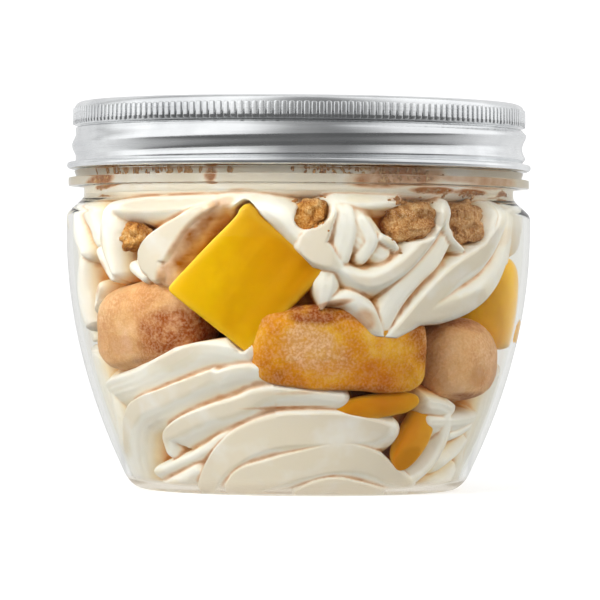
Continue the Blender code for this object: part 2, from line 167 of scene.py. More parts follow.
by_jar_or_lid = add_node(tree, "ShaderNodeMath", {"operation": "MAXIMUM"}, {
    0: path.outputs["Is Glossy Ray"], 1: path.outputs["Is Transmission Ray"]})
table_mix = add_node(tree, "ShaderNodeMixShader", inputs={
    0: by_jar_or_lid.outputs[0], 1: shader.outputs[0], 2: mirrored_table.outputs[0]})
tree.links.new(table_mix.outputs[0], tree.nodes["Material Output"].inputs["Surface"])
floor_mesh.materials.append(paint)
print("table, m:", FLOOR_HALF * 2, "wide")

# %% Light the room
ROOM_STRENGTH, MIRROR_STRENGTH = 0.56, 1.12
# Brightness of the mirrored studio by angle in degrees: 0 is the front, negative to the left
PANELS = ((-180, 0.9), (-152, 0.5), (-128, 0.3), (-112, 0.85), (-100, 1.05), (-34, 1.05),
          (-20, 0.62), (-6, 0.28), (24, 0.22), (42, 0.6), (60, 0.92), (122, 1.1), (136, 0.4),
          (150, 0.45), (180, 0.9))

world = bpy.data.worlds.new("white_room")
scene.world = world
world.use_nodes = True
tree = world.node_tree
tree.nodes.clear()
aim = add_node(tree, "ShaderNodeTexCoord")
split = add_node(tree, "ShaderNodeSeparateXYZ", inputs={0: aim.outputs["Generated"]})
frontward = add_node(tree, "ShaderNodeMath", {"operation": "MULTIPLY"}, {
    0: split.outputs["Y"], 1: -1.0})
turn = add_node(tree, "ShaderNodeMath", {"operation": "ARCTAN2"}, {
    0: split.outputs["X"], 1: frontward.outputs[0]})
share = add_node(tree, "ShaderNodeMapRange", inputs={
    "Value": turn.outputs[0], "From Min": -math.pi, "From Max": math.pi})
panels = add_node(tree, "ShaderNodeValToRGB", {
    "stops": [((degrees + 180) / 360, value) for degrees, value in PANELS]},
    {"Fac": share.outputs[0]})
path = add_node(tree, "ShaderNodeLightPath")
room = add_node(tree, "ShaderNodeBackground", inputs={
    "Color": linear("#FFFFFF"), "Strength": ROOM_STRENGTH})
backdrop = add_node(tree, "ShaderNodeBackground", inputs={
    "Color": linear("#FFFFFF"), "Strength": 1.0})
mirror = add_node(tree, "ShaderNodeBackground", inputs={
    "Color": panels.outputs["Color"], "Strength": MIRROR_STRENGTH})
seen = add_node(tree, "ShaderNodeMath", {"operation": "MAXIMUM"}, {
    0: path.outputs["Is Camera Ray"], 1: path.outputs["Is Transmission Ray"]})
open_air = add_node(tree, "ShaderNodeMixShader", inputs={
    0: seen.outputs[0], 1: room.outputs[0], 2: backdrop.outputs[0]})
whole = add_node(tree, "ShaderNodeMixShader", inputs={
    0: path.outputs["Is Glossy Ray"], 1: open_air.outputs[0], 2: mirror.outputs[0]})
add_node(tree, "ShaderNodeOutputWorld", inputs={"Surface": whole.outputs[0]})

# Two square panels that neither the camera nor a mirror sees: name, place and power in watts
SOFT_PANELS = (("key_panel", (-0.74, -0.78, 0.58), 7.9), ("fill_panel", (0.75, -0.75, 0.45), 3.6))
PANEL_SIZE, AIMED_AT = 0.6, Vector((0, 0, 0.04))
for name, place, power in SOFT_PANELS:
    light = bpy.data.lights.new(name, "AREA")
    light.energy, light.size = power, PANEL_SIZE
    panel = bpy.data.objects.new(name, light)
    panel.location = place
    panel.rotation_euler = (AIMED_AT - Vector(place)).to_track_quat("-Z", "Y").to_euler()
    panel.visible_camera = panel.visible_glossy = False
    scene.collection.objects.link(panel)
scene.view_settings.view_transform = "Standard"

# %% [markdown]
# ## From points to pieces
# Most pieces here follow a rule, such as a turned profile or a relief on the jar's wall, so their
# points are worked out as arrays of numbers in millimetres and handed to Blender in one go. That is
# quicker than moving vertices one by one, and keeps each size readable. Normals are recalculated
# once, when the mesh is closed. A piece can carry numbers on its points, such as how deep the cream
# lies, and its material reads them by name.

# %% Make meshes, dress pieces
def mesh_piece(name, points, faces):
    """A smooth mesh object from points in millimetres, with its faces turned outwards."""
    mesh = bpy.data.meshes.new(name)
    mesh.from_pydata((np.asarray(points, float) * MM).tolist(), [], faces)
    bm = bmesh.new()
    bm.from_mesh(mesh)
    bmesh.ops.recalc_face_normals(bm, faces=bm.faces)
    bm.to_mesh(mesh)
    bm.free()
    mesh.shade_smooth()
    piece = bpy.data.objects.new(name, mesh)
    scene.collection.objects.link(piece)
    return piece


def mark_points(piece, marks):
    """Stores named numbers on the points of a piece, for its material to read."""
    for name, values in marks.items():
        mark = piece.data.attributes.new(name, "FLOAT", "POINT")
        mark.data.foreach_set("value", values.astype(np.float32))


def round_axis(radius, turn, height):
    """Points at radii, angles in radians from the front, and heights."""
    radius, turn, height = np.broadcast_arrays(radius, turn, height)
    return np.stack([radius * np.sin(turn), -radius * np.cos(turn), height], axis=-1)


def angle_of(points):
    """Angles of points round the axis, in degrees from the front."""
    return np.degrees(np.arctan2(points[:, 0], -points[:, 1]))


def turned_points(profile, columns):
    """Points of a profile of (radius, height), turned round the axis, with a pole at each end."""
    profile = np.array(profile, float)
    turn = np.arange(columns) * 2 * math.pi / columns
    rings = round_axis(profile[1:-1, :1], turn, profile[1:-1, 1:])
    poles = [(0, 0, profile[0, 1]), (0, 0, profile[-1, 1])]
    return np.vstack([rings.reshape(-1, 3), poles]), len(profile) - 2


def capped_faces(rows, columns):
    """Faces of a closed grid of rings, whose last two points are the poles below and above it."""
    faces = []
    below, above = rows * columns, rows * columns + 1
    last = (rows - 1) * columns
    for low in range(0, last, columns):
        for column in range(columns):
            after = (column + 1) % columns
            high = low + columns
            faces.append((low + column, low + after, high + after, high + column))
    for column in range(columns):
        after = (column + 1) % columns
        faces.append((below, after, column))
        faces.append((above, last + column, last + after))
    return faces


def dress(piece, material, slot, *nodes):
    """Gives a piece its finish, and has it ride and stand for its solids."""
    piece.data.materials.clear()
    piece.data.materials.append(material)
    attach(piece, "root")
    if nodes:
        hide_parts(*nodes)
    print(piece.name, len(piece.data.polygons), "faces")


# %% [markdown]
# ## The jar
# The jar is blown from clear PET, a polyester. Its walls are a little over a millimetre thick and
# bow outwards from a small foot. A square collar stiffens its neck, and above it the neck flares a
# little up to the lid. It could be one surface thickened by a Solidify modifier, but then a rounded
# foot and a square collar are hard to have at once. Here the section of the wall is drawn once, up
# the inside and down the outside, and turned. What lies inside touches the wall or nearly does, and
# a bent wall magnifies it to the jar's very edge, so the inside radius is a function that every
# other piece uses too.

# %% The wall's radius at a height
BODY_R, BODY_CURVE, BODY_STRAIGHT_Z = 43.0, 0.0054, 48.0
WALL, FLOOR_Z = 1.15, 0.8
CORNER_Z, CORNER_IN = 2.8, 1.4
NECK_R, SHOULDER_Z, NECK_Z, RIM_Z = 39.85, 50.2, 54.4, 70.2


def wall_inside(z):
    """Radius of the jar's inner wall at a height or an array of heights."""
    z = np.asarray(z, float)
    body = BODY_R - WALL - BODY_CURVE * np.maximum(0.0, BODY_STRAIGHT_Z - z) ** 2
    body = body - CORNER_IN * np.clip((CORNER_Z - z) / 2, 0, 1) ** 2
    slope = np.clip((z - SHOULDER_Z) / (NECK_Z - SHOULDER_Z), 0, 1)
    neck = NECK_R - WALL
    return neck + (body - neck) * (1 + np.cos(math.pi * slope)) / 2


print("inside radius at 5, 30, 50 and 57 mm:", wall_inside([5, 30, 50, 57]).round(2))


# %% Turn the jar
JAR_STEPS = 240
COLLAR_R, COLLAR_LOW, COLLAR_HIGH, COLLAR_EDGE = 42.75, 55.85, 57.4, 0.16
FLARE_LOW_R, FLARE_HIGH_R, FLARE_TOP = 41.3, 41.7, 58.85
FOOT_R, RECESS_R, RECESS = 28.2, 24.8, 0.25


def arc(r, z, radius, start, stop, steps=7):
    """Points round a corner whose centre is (r, z), between two angles in degrees."""
    return [(r + radius * math.cos(math.radians(a)), z + radius * math.sin(math.radians(a)))
            for a in np.linspace(start, stop, steps)]


heights = np.concatenate([np.linspace(CORNER_Z, SHOULDER_Z, 48),
                          np.linspace(SHOULDER_Z + 0.4, NECK_Z, 16)])
foot_heights = np.linspace(FLOOR_Z, CORNER_Z - 0.2, 9)
inside = [(0, FLOOR_Z)]
inside += [(float(wall_inside(z)), z) for z in (*foot_heights, *heights)]
inside += [(NECK_R - WALL, 60), (NECK_R - WALL, RIM_Z - 0.4)]
outside = [(NECK_R - 0.8, RIM_Z), (NECK_R - 0.3, RIM_Z), (NECK_R, RIM_Z - 0.4)]
outside += [(NECK_R, FLARE_TOP), (FLARE_HIGH_R - 0.2, FLARE_TOP - 0.05),
            (FLARE_HIGH_R, FLARE_TOP - 0.25), (FLARE_LOW_R, COLLAR_HIGH + 0.1)]
outside += [(FLARE_LOW_R, COLLAR_HIGH)]
outside += arc(COLLAR_R - COLLAR_EDGE, COLLAR_HIGH - COLLAR_EDGE, COLLAR_EDGE, 90, 0)
outside += arc(COLLAR_R - COLLAR_EDGE, COLLAR_LOW + COLLAR_EDGE, COLLAR_EDGE, 0, -90)
outside += [(FLARE_LOW_R, COLLAR_LOW), (NECK_R, COLLAR_LOW - 0.35)]
outside += [(float(wall_inside(z)) + WALL, z) for z in heights[::-1]]
# The foot's corner is a quadratic curve from the wall to the flat the jar stands on
above, bend, below = np.array([outside[-1], (FOOT_R + 2.3, 0), (FOOT_R, 0)])
for t in np.linspace(0, 1, 9)[1:]:
    outside.append(tuple((1 - t) ** 2 * above + 2 * t * (1 - t) * bend + t * t * below))
outside += [(FOOT_R - 1.6, 0), (RECESS_R + 1.1, 0.12), (RECESS_R, 0.22), (12, RECESS), (0, RECESS)]
points, rows = turned_points(inside + outside, JAR_STEPS)
jar = mesh_piece("clear_jar", points, capped_faces(rows, JAR_STEPS))

# %% [markdown]
# Clear PET is moulded against polished steel, so it is glossy inside and out. It bends light a
# little more than glass does: its IOR is 1.57. A Principled shader could stand for it, but the room
# mirrored in its front would lie over the food as a haze, which a photographer takes away with a
# polarising filter. So the wall is built from the two things it does: it bends light, and it
# mirrors a share that Fresnel's law gives. A power takes that share down where the wall is seen
# straight on, as the filter does, and leaves it at the edges and inside the wall. The neck has a
# share of cream-coloured matt haze, a painted light that lightens the dark lines its bent wall
# shows, and the foot has a share of matt haze too. A ray that looks for a lamp can't find it
# through a bending wall, so for shadow rays the wall is simply clear.

# %% Clear moulded PET
PET_IOR, FILTERING = 1.57, 1.8
# Share of haze, and the heights in metres at which it starts and is full: neck, then foot
HAZES = ((0.08, 0.0515, 0.056), (0.25, 0.003, 0.0015))
pet, tree, shader = new_material("clear_moulded_PET")
tree.nodes.remove(shader)
bend = add_node(tree, "ShaderNodeBsdfRefraction", inputs={
    "Color": linear("#FCFCFA"), "Roughness": 0.0, "IOR": PET_IOR})
gleam = add_node(tree, "ShaderNodeBsdfAnisotropic", inputs={
    "Color": linear("#FFFFFF"), "Roughness": 0.0})
law = add_node(tree, "ShaderNodeFresnel", inputs={"IOR": PET_IOR})
mirrored_share = add_node(tree, "ShaderNodeMath", {"operation": "POWER"}, {
    0: law.outputs[0], 1: FILTERING})
wall_light = add_node(tree, "ShaderNodeMixShader", inputs={
    0: mirrored_share.outputs[0], 1: bend.outputs[0], 2: gleam.outputs[0]})
place = add_node(tree, "ShaderNodeTexCoord")
rise = add_node(tree, "ShaderNodeSeparateXYZ", inputs={0: place.outputs["Object"]})
neck_haze, foot_haze = (
    add_node(tree, "ShaderNodeMapRange", inputs={
        "Value": rise.outputs["Z"], "From Min": start, "From Max": full, "To Max": share})
    for share, start, full in HAZES)
haze = add_node(tree, "ShaderNodeMath", {"operation": "MAXIMUM"}, {
    0: neck_haze.outputs[0], 1: foot_haze.outputs[0]})
# The neck's cream-coloured haze is a painted light that lightens the dark lines of the bent wall
cloud = add_node(tree, "ShaderNodeBsdfDiffuse", inputs={"Color": linear("#F2E6D2")})
hazed = add_node(tree, "ShaderNodeMixShader", inputs={
    0: haze.outputs[0], 1: wall_light.outputs[0], 2: cloud.outputs[0]})
path = add_node(tree, "ShaderNodeLightPath")
clear = add_node(tree, "ShaderNodeBsdfTransparent", inputs={"Color": linear("#F8FAFA")})
wall_mix = add_node(tree, "ShaderNodeMixShader", inputs={
    0: path.outputs["Is Shadow Ray"], 1: hazed.outputs[0], 2: clear.outputs[0]})
tree.links.new(wall_mix.outputs[0], tree.nodes["Material Output"].inputs["Surface"])
dress(jar, pet, "clear_plastic", "jar")

# %% [markdown]
# ## The lid
# The lid is pressed from thin aluminium sheet. A rolled thread runs round it as one low wave whose
# crest climbs one pitch a turn, its lower edge is curled over, and a knurled band of about two
# hundred short ribs gives the fingers a grip. The shell is a turned section whose rows are pushed
# outwards by the thread's wave. The ribs repeat, so Geometry Nodes set one small rib on each point
# of a circle, and their number stays a single value.

# %% Shape the lid's shell
LID_TOP, LID_BOTTOM, LID_CORNER, SHEET = 71.4, 59.0, 1.45, 0.6
DISC_R, DISC_SUNK = 36.1, 0.3
GRIP_R, GRIP_LOW, GRIP_HIGH = 42.0, 67.1, 70.3
RIB_HEIGHT = 0.26
WAIST_R, CURL_R, CURL_BEND = 41.45, 43.05, 0.62
THREAD_PITCH, THREAD_HEIGHT, THREAD_FRONT_Z = 4.8, 0.7, 64.5
THREAD_LOW, THREAD_HIGH = 60.6, 66.6
LID_STEPS = 240


def thread_lift(angle, z):
    """How far the rolled thread stands out, at arrays of angles in degrees and heights."""
    lift = np.zeros(np.broadcast(angle, z).shape)
    for turn in (-1, 0, 1):
        crest = THREAD_FRONT_Z + THREAD_PITCH * (angle / 360 + turn)
        away = np.minimum(np.abs(z - crest) / (THREAD_PITCH * 0.46), 1.0)
        lift = np.maximum(lift, (1 + np.cos(math.pi * away)) / 2)
    ends = np.clip(np.minimum(z - THREAD_LOW, THREAD_HIGH - z) / 0.8, 0, 1)
    return THREAD_HEIGHT * lift * ends


thread_rows = np.linspace(THREAD_HIGH, THREAD_LOW, 40)
lid_inside_r = WAIST_R - SHEET
section = [(0, LID_TOP - DISC_SUNK), (20, LID_TOP - DISC_SUNK), (DISC_R - 0.5, LID_TOP - DISC_SUNK),
           (DISC_R, LID_TOP - DISC_SUNK + 0.02), (DISC_R + 0.6, LID_TOP - 0.05),
           (DISC_R + 1, LID_TOP)]
section += arc(40.3, LID_TOP - LID_CORNER, LID_CORNER, 90, 20, 9)
section += [(GRIP_R - RIB_HEIGHT, GRIP_HIGH - 0.05), (GRIP_R - RIB_HEIGHT, GRIP_LOW + 0.2),
            (GRIP_R - RIB_HEIGHT - 0.1, GRIP_LOW), (WAIST_R - 0.35, GRIP_LOW - 0.15),
            (WAIST_R - 0.35, THREAD_HIGH + 0.12)]
section += [(WAIST_R, z) for z in thread_rows]
section += [(WAIST_R - 0.05, 60.4), (WAIST_R + 0.25, 60.3)]
section += arc(CURL_R - CURL_BEND, LID_BOTTOM + 0.66, CURL_BEND, 80, -75, 9)
section += [(42.2, LID_BOTTOM + 0.02), (41.8, LID_BOTTOM + 0.2), (lid_inside_r, LID_BOTTOM + 0.5)]
section += [(lid_inside_r, 66), (lid_inside_r, LID_TOP - 1.4), (lid_inside_r - 0.5, LID_TOP - 1),
            (20, LID_TOP - 1), (0, LID_TOP - 1)]
points, rows = turned_points(section, LID_STEPS)
radius, angle = np.hypot(points[:, 0], points[:, 1]), angle_of(points)
on_thread = (radius > WAIST_R - 0.2) & (points[:, 2] < THREAD_HIGH) & (points[:, 2] > THREAD_LOW)
grown = 1 + np.where(on_thread, thread_lift(angle, points[:, 2]) / np.maximum(radius, 1), 0)
points[:, :2] *= grown[:, None]
lid = mesh_piece("screw_lid", points, capped_faces(rows, LID_STEPS))
print("thread stands out to", round(float(np.hypot(*points[on_thread, :2].T).max()), 2), "mm")


# %% Finish: satin aluminium
satin, tree, shader = new_material("satin_rolled_aluminium", Metallic=1.0, Roughness=0.24,
                                   Anisotropic=0.35)
place = add_node(tree, "ShaderNodeTexCoord")
stretch = add_node(tree, "ShaderNodeMapping", inputs={
    "Vector": place.outputs["Object"], "Scale": (60, 60, 2600)})
lines = add_node(tree, "ShaderNodeTexNoise", inputs={
    "Vector": stretch.outputs[0], "Scale": 1.0, "Detail": 3.0})
blotch = add_node(tree, "ShaderNodeTexNoise", inputs={
    "Vector": place.outputs["Object"], "Scale": 90.0, "Detail": 3.0})
tone = add_node(tree, "ShaderNodeValToRGB", {
    "stops": [(0.35, "#DCDEE0"), (0.65, "#F0F2F3")]}, {"Fac": blotch.outputs["Fac"]})
tree.links.new(tone.outputs["Color"], shader.inputs["Base Color"])
dull = add_node(tree, "ShaderNodeMapRange", inputs={
    "Value": lines.outputs["Fac"], "From Min": 0.3, "From Max": 0.7, "To Min": 0.19,
    "To Max": 0.3})
tree.links.new(dull.outputs[0], shader.inputs["Roughness"])
bump = add_node(tree, "ShaderNodeBump", inputs={
    "Height": lines.outputs["Fac"], "Strength": 0.12, "Distance": 0.00005})
tree.links.new(bump.outputs[0], shader.inputs["Normal"])


# %% Knurl the grip band with Geometry Nodes
RIB_INPUTS = (("Ribs", "Int", 200), ("Band radius", "Float", 0.04172),
              ("Band middle", "Float", 0.0687), ("Rib width", "Float", 0.00102),
              ("Rib length", "Float", 0.0031), ("Rib depth", "Float", 0.00054), ("Seed", "Int", 3))


def new_nodes(name, takes, numbers):
    """A Geometry Nodes tree that takes a piece and named numbers, and its input node."""
    group = bpy.data.node_groups.new(name, "GeometryNodeTree")
    for label, kind in ((takes, "Geometry"), *(number[:2] for number in numbers)):
        group.interface.new_socket(label, in_out="INPUT", socket_type="NodeSocket" + kind)
    group.interface.new_socket("Geometry", in_out="OUTPUT", socket_type="NodeSocketGeometry")
    return group, add_node(group, "NodeGroupInput")


def end_nodes(group, shape, material):
    """Ends a tree: the shape takes its material and goes out."""
    finish = add_node(group, "GeometryNodeSetMaterial", inputs={0: shape, "Material": material})
    add_node(group, "NodeGroupOutput", inputs={0: finish.outputs[0]})


def apply_nodes(piece, group, numbers):
    """Runs a Geometry Nodes tree on a piece with the given numbers, and keeps the plain mesh."""
    values = {label: value for label, _, value in numbers}
    modifier = piece.modifiers.new(group.name, "NODES")
    modifier.node_group = group
    for item in group.interface.items_tree:
        if item.in_out == "INPUT" and item.name in values:
            modifier[item.identifier] = values[item.name]
    graph = bpy.context.evaluated_depsgraph_get()
    mesh = bpy.data.meshes.new_from_object(piece.evaluated_get(graph))
    piece.modifiers.clear()
    piece.data = mesh


knurl, given = new_nodes("knurled_band", "Lid", RIB_INPUTS)
ring = add_node(knurl, "GeometryNodeMeshCircle", inputs={
    "Vertices": given.outputs["Ribs"], "Radius": given.outputs["Band radius"]})
lifted = add_node(knurl, "ShaderNodeCombineXYZ", inputs={"Z": given.outputs["Band middle"]})
raised = add_node(knurl, "GeometryNodeSetPosition", inputs={
    "Geometry": ring.outputs[0], "Offset": lifted.outputs[0]})
size = add_node(knurl, "ShaderNodeCombineXYZ", inputs={
    "X": given.outputs["Rib depth"], "Y": given.outputs["Rib width"],
    "Z": given.outputs["Rib length"]})
block = add_node(knurl, "GeometryNodeMeshCube", inputs={"Size": size.outputs[0]})
rib = add_node(knurl, "GeometryNodeSubdivisionSurface", inputs={
    0: block.outputs[0], "Level": 2, "Edge Crease": 0.45})
smooth = add_node(knurl, "GeometryNodeSetShadeSmooth", inputs={0: rib.outputs[0]})
where = add_node(knurl, "GeometryNodeInputPosition")
flat = add_node(knurl, "ShaderNodeVectorMath", {"operation": "MULTIPLY"}, {
    0: where.outputs[0], 1: (1, 1, 0)})
facing = add_node(knurl, "FunctionNodeAlignEulerToVector", {"axis": "X", "pivot_axis": "Z"}, {
    "Vector": flat.outputs[0]})
wear = add_node(knurl, "FunctionNodeRandomValue", {"data_type": "FLOAT"}, {
    2: 0.93, 3: 1.03, "Seed": given.outputs["Seed"]})
set_ribs = add_node(knurl, "GeometryNodeInstanceOnPoints", inputs={
    "Points": raised.outputs[0], "Instance": smooth.outputs[0], "Rotation": facing.outputs[0],
    "Scale": wear.outputs[1]})
band = add_node(knurl, "GeometryNodeRealizeInstances", inputs={0: set_ribs.outputs[0]})
joined = add_node(knurl, "GeometryNodeJoinGeometry", inputs={0: given.outputs["Lid"]})
knurl.links.new(band.outputs[0], joined.inputs[0])
end_nodes(knurl, joined.outputs[0], satin)
apply_nodes(lid, knurl, RIB_INPUTS)
dress(lid, satin, "aluminium", "lid")

# %% [markdown]
# ## The piped cream
# The cream is mascarpone whipped with cream and piped against the wall from a star nozzle. Each
# stroke leaves petals: a crest that is pressed flat where it meets the wall, and a valley behind it
# that stays a few millimetres off the wall. Sculpting would do it by hand and a fluid simulation
# would take hours, but seen through the wall the cream is one surface with a depth behind the wall
# at each angle and height, a relief. So each petal is a stroke: a smooth path on the wall, how deep
# its crest lies and how wide it is on either side. Where strokes overlap, the one nearer to the
# wall wins, with a little rounding where two meet, as when one soft petal is laid on another.

# %% The strokes
# Each is a power, from 2 for a round crest to 4 for a flat one with steep sides, and points along
# the crest as (angle, height, depth behind the wall, width to the left, width to the right). The
# sides are those of someone who walks along the crest. A depth below 0 is cream pressed flat.
BASE_STROKES = (
    (2, ((-86, 25, 0.8, 5, 5), (-88, 16, 0.5, 5, 5), (-90, 7, 0.4, 5, 5), (-90, 1.5, 0.5, 4, 4))),
    (2, ((80, 24, 0.8, 4, 4), (84, 17, 0.4, 5, 5), (87, 8, 0.4, 5, 5), (90, 2, 0.4, 4, 4))),
    (2.4, ((-75, 19.4, 1.6, 1.5, 5), (-52, 21.5, 0.5, 1.5, 5), (-37, 24.6, 0, 1.6, 5),
         (-26, 27, 0.1, 1.6, 5), (-15, 26.2, 0.4, 2, 4))),
    (2.4, ((-74, 3.6, 0.3, 1, 4.6), (-65, 10.2, -0.1, 0.9, 5), (-57, 15.1, -0.3, 0.9, 5),
         (-50, 17.1, -0.3, 0.9, 5), (-42, 18.4, -0.3, 0.9, 5), (-32, 20.4, -0.2, 0.9, 4.6),
         (-24, 22.1, -0.1, 0.9, 4.2))),
    (2.4, ((-22, 21.9, -0.1, 1, 4), (-17, 23, 0.1, 1.1, 4), (-13, 23.3, 0.1, 1.1, 4),
         (-9, 22.9, 0.4, 1.1, 4))),
    (2.4, ((-44, 7.9, 0.2, 1.3, 2.2), (-43, 10.9, -0.1, 1.2, 3.4), (-37, 13.1, -0.2, 1.2, 4.2),
         (-27, 15.3, -0.2, 1.3, 4.2), (-17, 17, -0.2, 1.5, 4.2), (-10, 18.7, 0, 1.8, 4),
         (-3, 19.1, 0.1, 2, 3.6), (4, 18.7, 0.2, 2, 3.2), (12, 17.9, 0.4, 2, 2.5))),
    (2, ((-54, 3.9, 0.3, 1.6, 1.8), (-44, 5.4, 0.4, 1.6, 1.6), (-36, 6.8, 0.6, 1.6, 1.5),
         (-29, 8.6, 0.8, 1.6, 1.5), (-24, 10.4, 0.9, 1.6, 1.5), (-17, 12.1, 0.9, 1.5, 1.5),
         (-12, 13.8, 0.8, 1.2, 1.2))),
    (2, ((-55, 0.9, 0.5, 2, 2), (-43, 2.6, 0.2, 2, 2), (-35, 4.6, 0.4, 1.8, 2))),
    (2.4, ((-34, 1.5, -0.5, 1.6, 3.2), (-28, 5.3, -0.8, 1.9, 3.8), (-22, 8.5, -0.9, 2.1, 4.4),
         (-15, 11.1, -0.9, 2.3, 5), (-6, 12.8, -0.9, 2.6, 5.2), (3, 13.2, -0.9, 2.7, 5.2),
         (13, 13.2, -0.8, 2.6, 5), (23, 12.5, -0.4, 2.4, 4.4), (29, 12.4, 0.2, 2, 3.5))),
    (2.4, ((-23, 1.7, -0.5, 1.6, 4), (-18, 3.8, -0.9, 1.9, 4.2), (-9, 5.2, -1, 2.1, 4.4),
         (1, 6.7, -1, 2.2, 4.4), (10, 8, -1, 2.2, 4.6), (17, 8, -1, 2.2, 4.4), (25, 6.7, -0.7, 2, 4),
         (33, 4.2, -0.3, 2, 3.6), (43, 2, 0.2, 2, 3))),
    (2.4, ((1, 1.2, -0.4, 1, 3), (7, 2.5, -0.5, 1.1, 3), (13, 3, -0.5, 1.1, 3),
         (20, 2.3, -0.5, 1.1, 3), (31, 1.1, -0.3, 1, 3))),
    (2, ((50, 14, 0.5, 2.2, 2), (51, 11.1, 0.2, 2.4, 1.6), (50, 7.8, 0.1, 2.4, 1.8),
         (47, 4.9, 0.1, 2.2, 2), (42, 3, 0.3, 2.2, 2), (36, 1.6, 0.4, 2.2, 2))),
    (2, ((51, 10.5, 0.6, 2.2, 1.2), (58, 11, 0.6, 2.2, 1.2), (67, 12.3, 1, 2, 1.2))),
    (2, ((57, 5.9, 0.8, 2, 2), (62, 7.4, 0.8, 2, 2), (69, 9.5, 1.2, 2, 2))),
    (2, ((58, 1, 0.5, 2.5, 2), (66, 2.3, 0.7, 2.4, 2), (72, 4.1, 1.3, 2.4, 2))),
    (2, ((89, 1.8, 1.6, 2, 3), (74, 7.7, 1.6, 2, 3), (72, 13.3, 1.6, 2, 3))),
    (4, ((42, 17, 0.8, 1.5, 2.2), (46, 16.8, 0.7, 2, 2.5), (51, 15.8, 0.9, 2, 2.4))),
    (2, ((44, 13.8, 0.9, 1.3, 3), (55, 13.8, 0.4, 1.3, 4), (71, 14.3, 1.4, 1.3, 4))),
    (2, ((-71, 19.3, 1.6, 3, 2.5), (-72, 13.7, 1, 3, 2.5), (-77, 8.1, 0.4, 3, 2.5),
         (-89, 2.8, 0.1, 3, 2))),
)
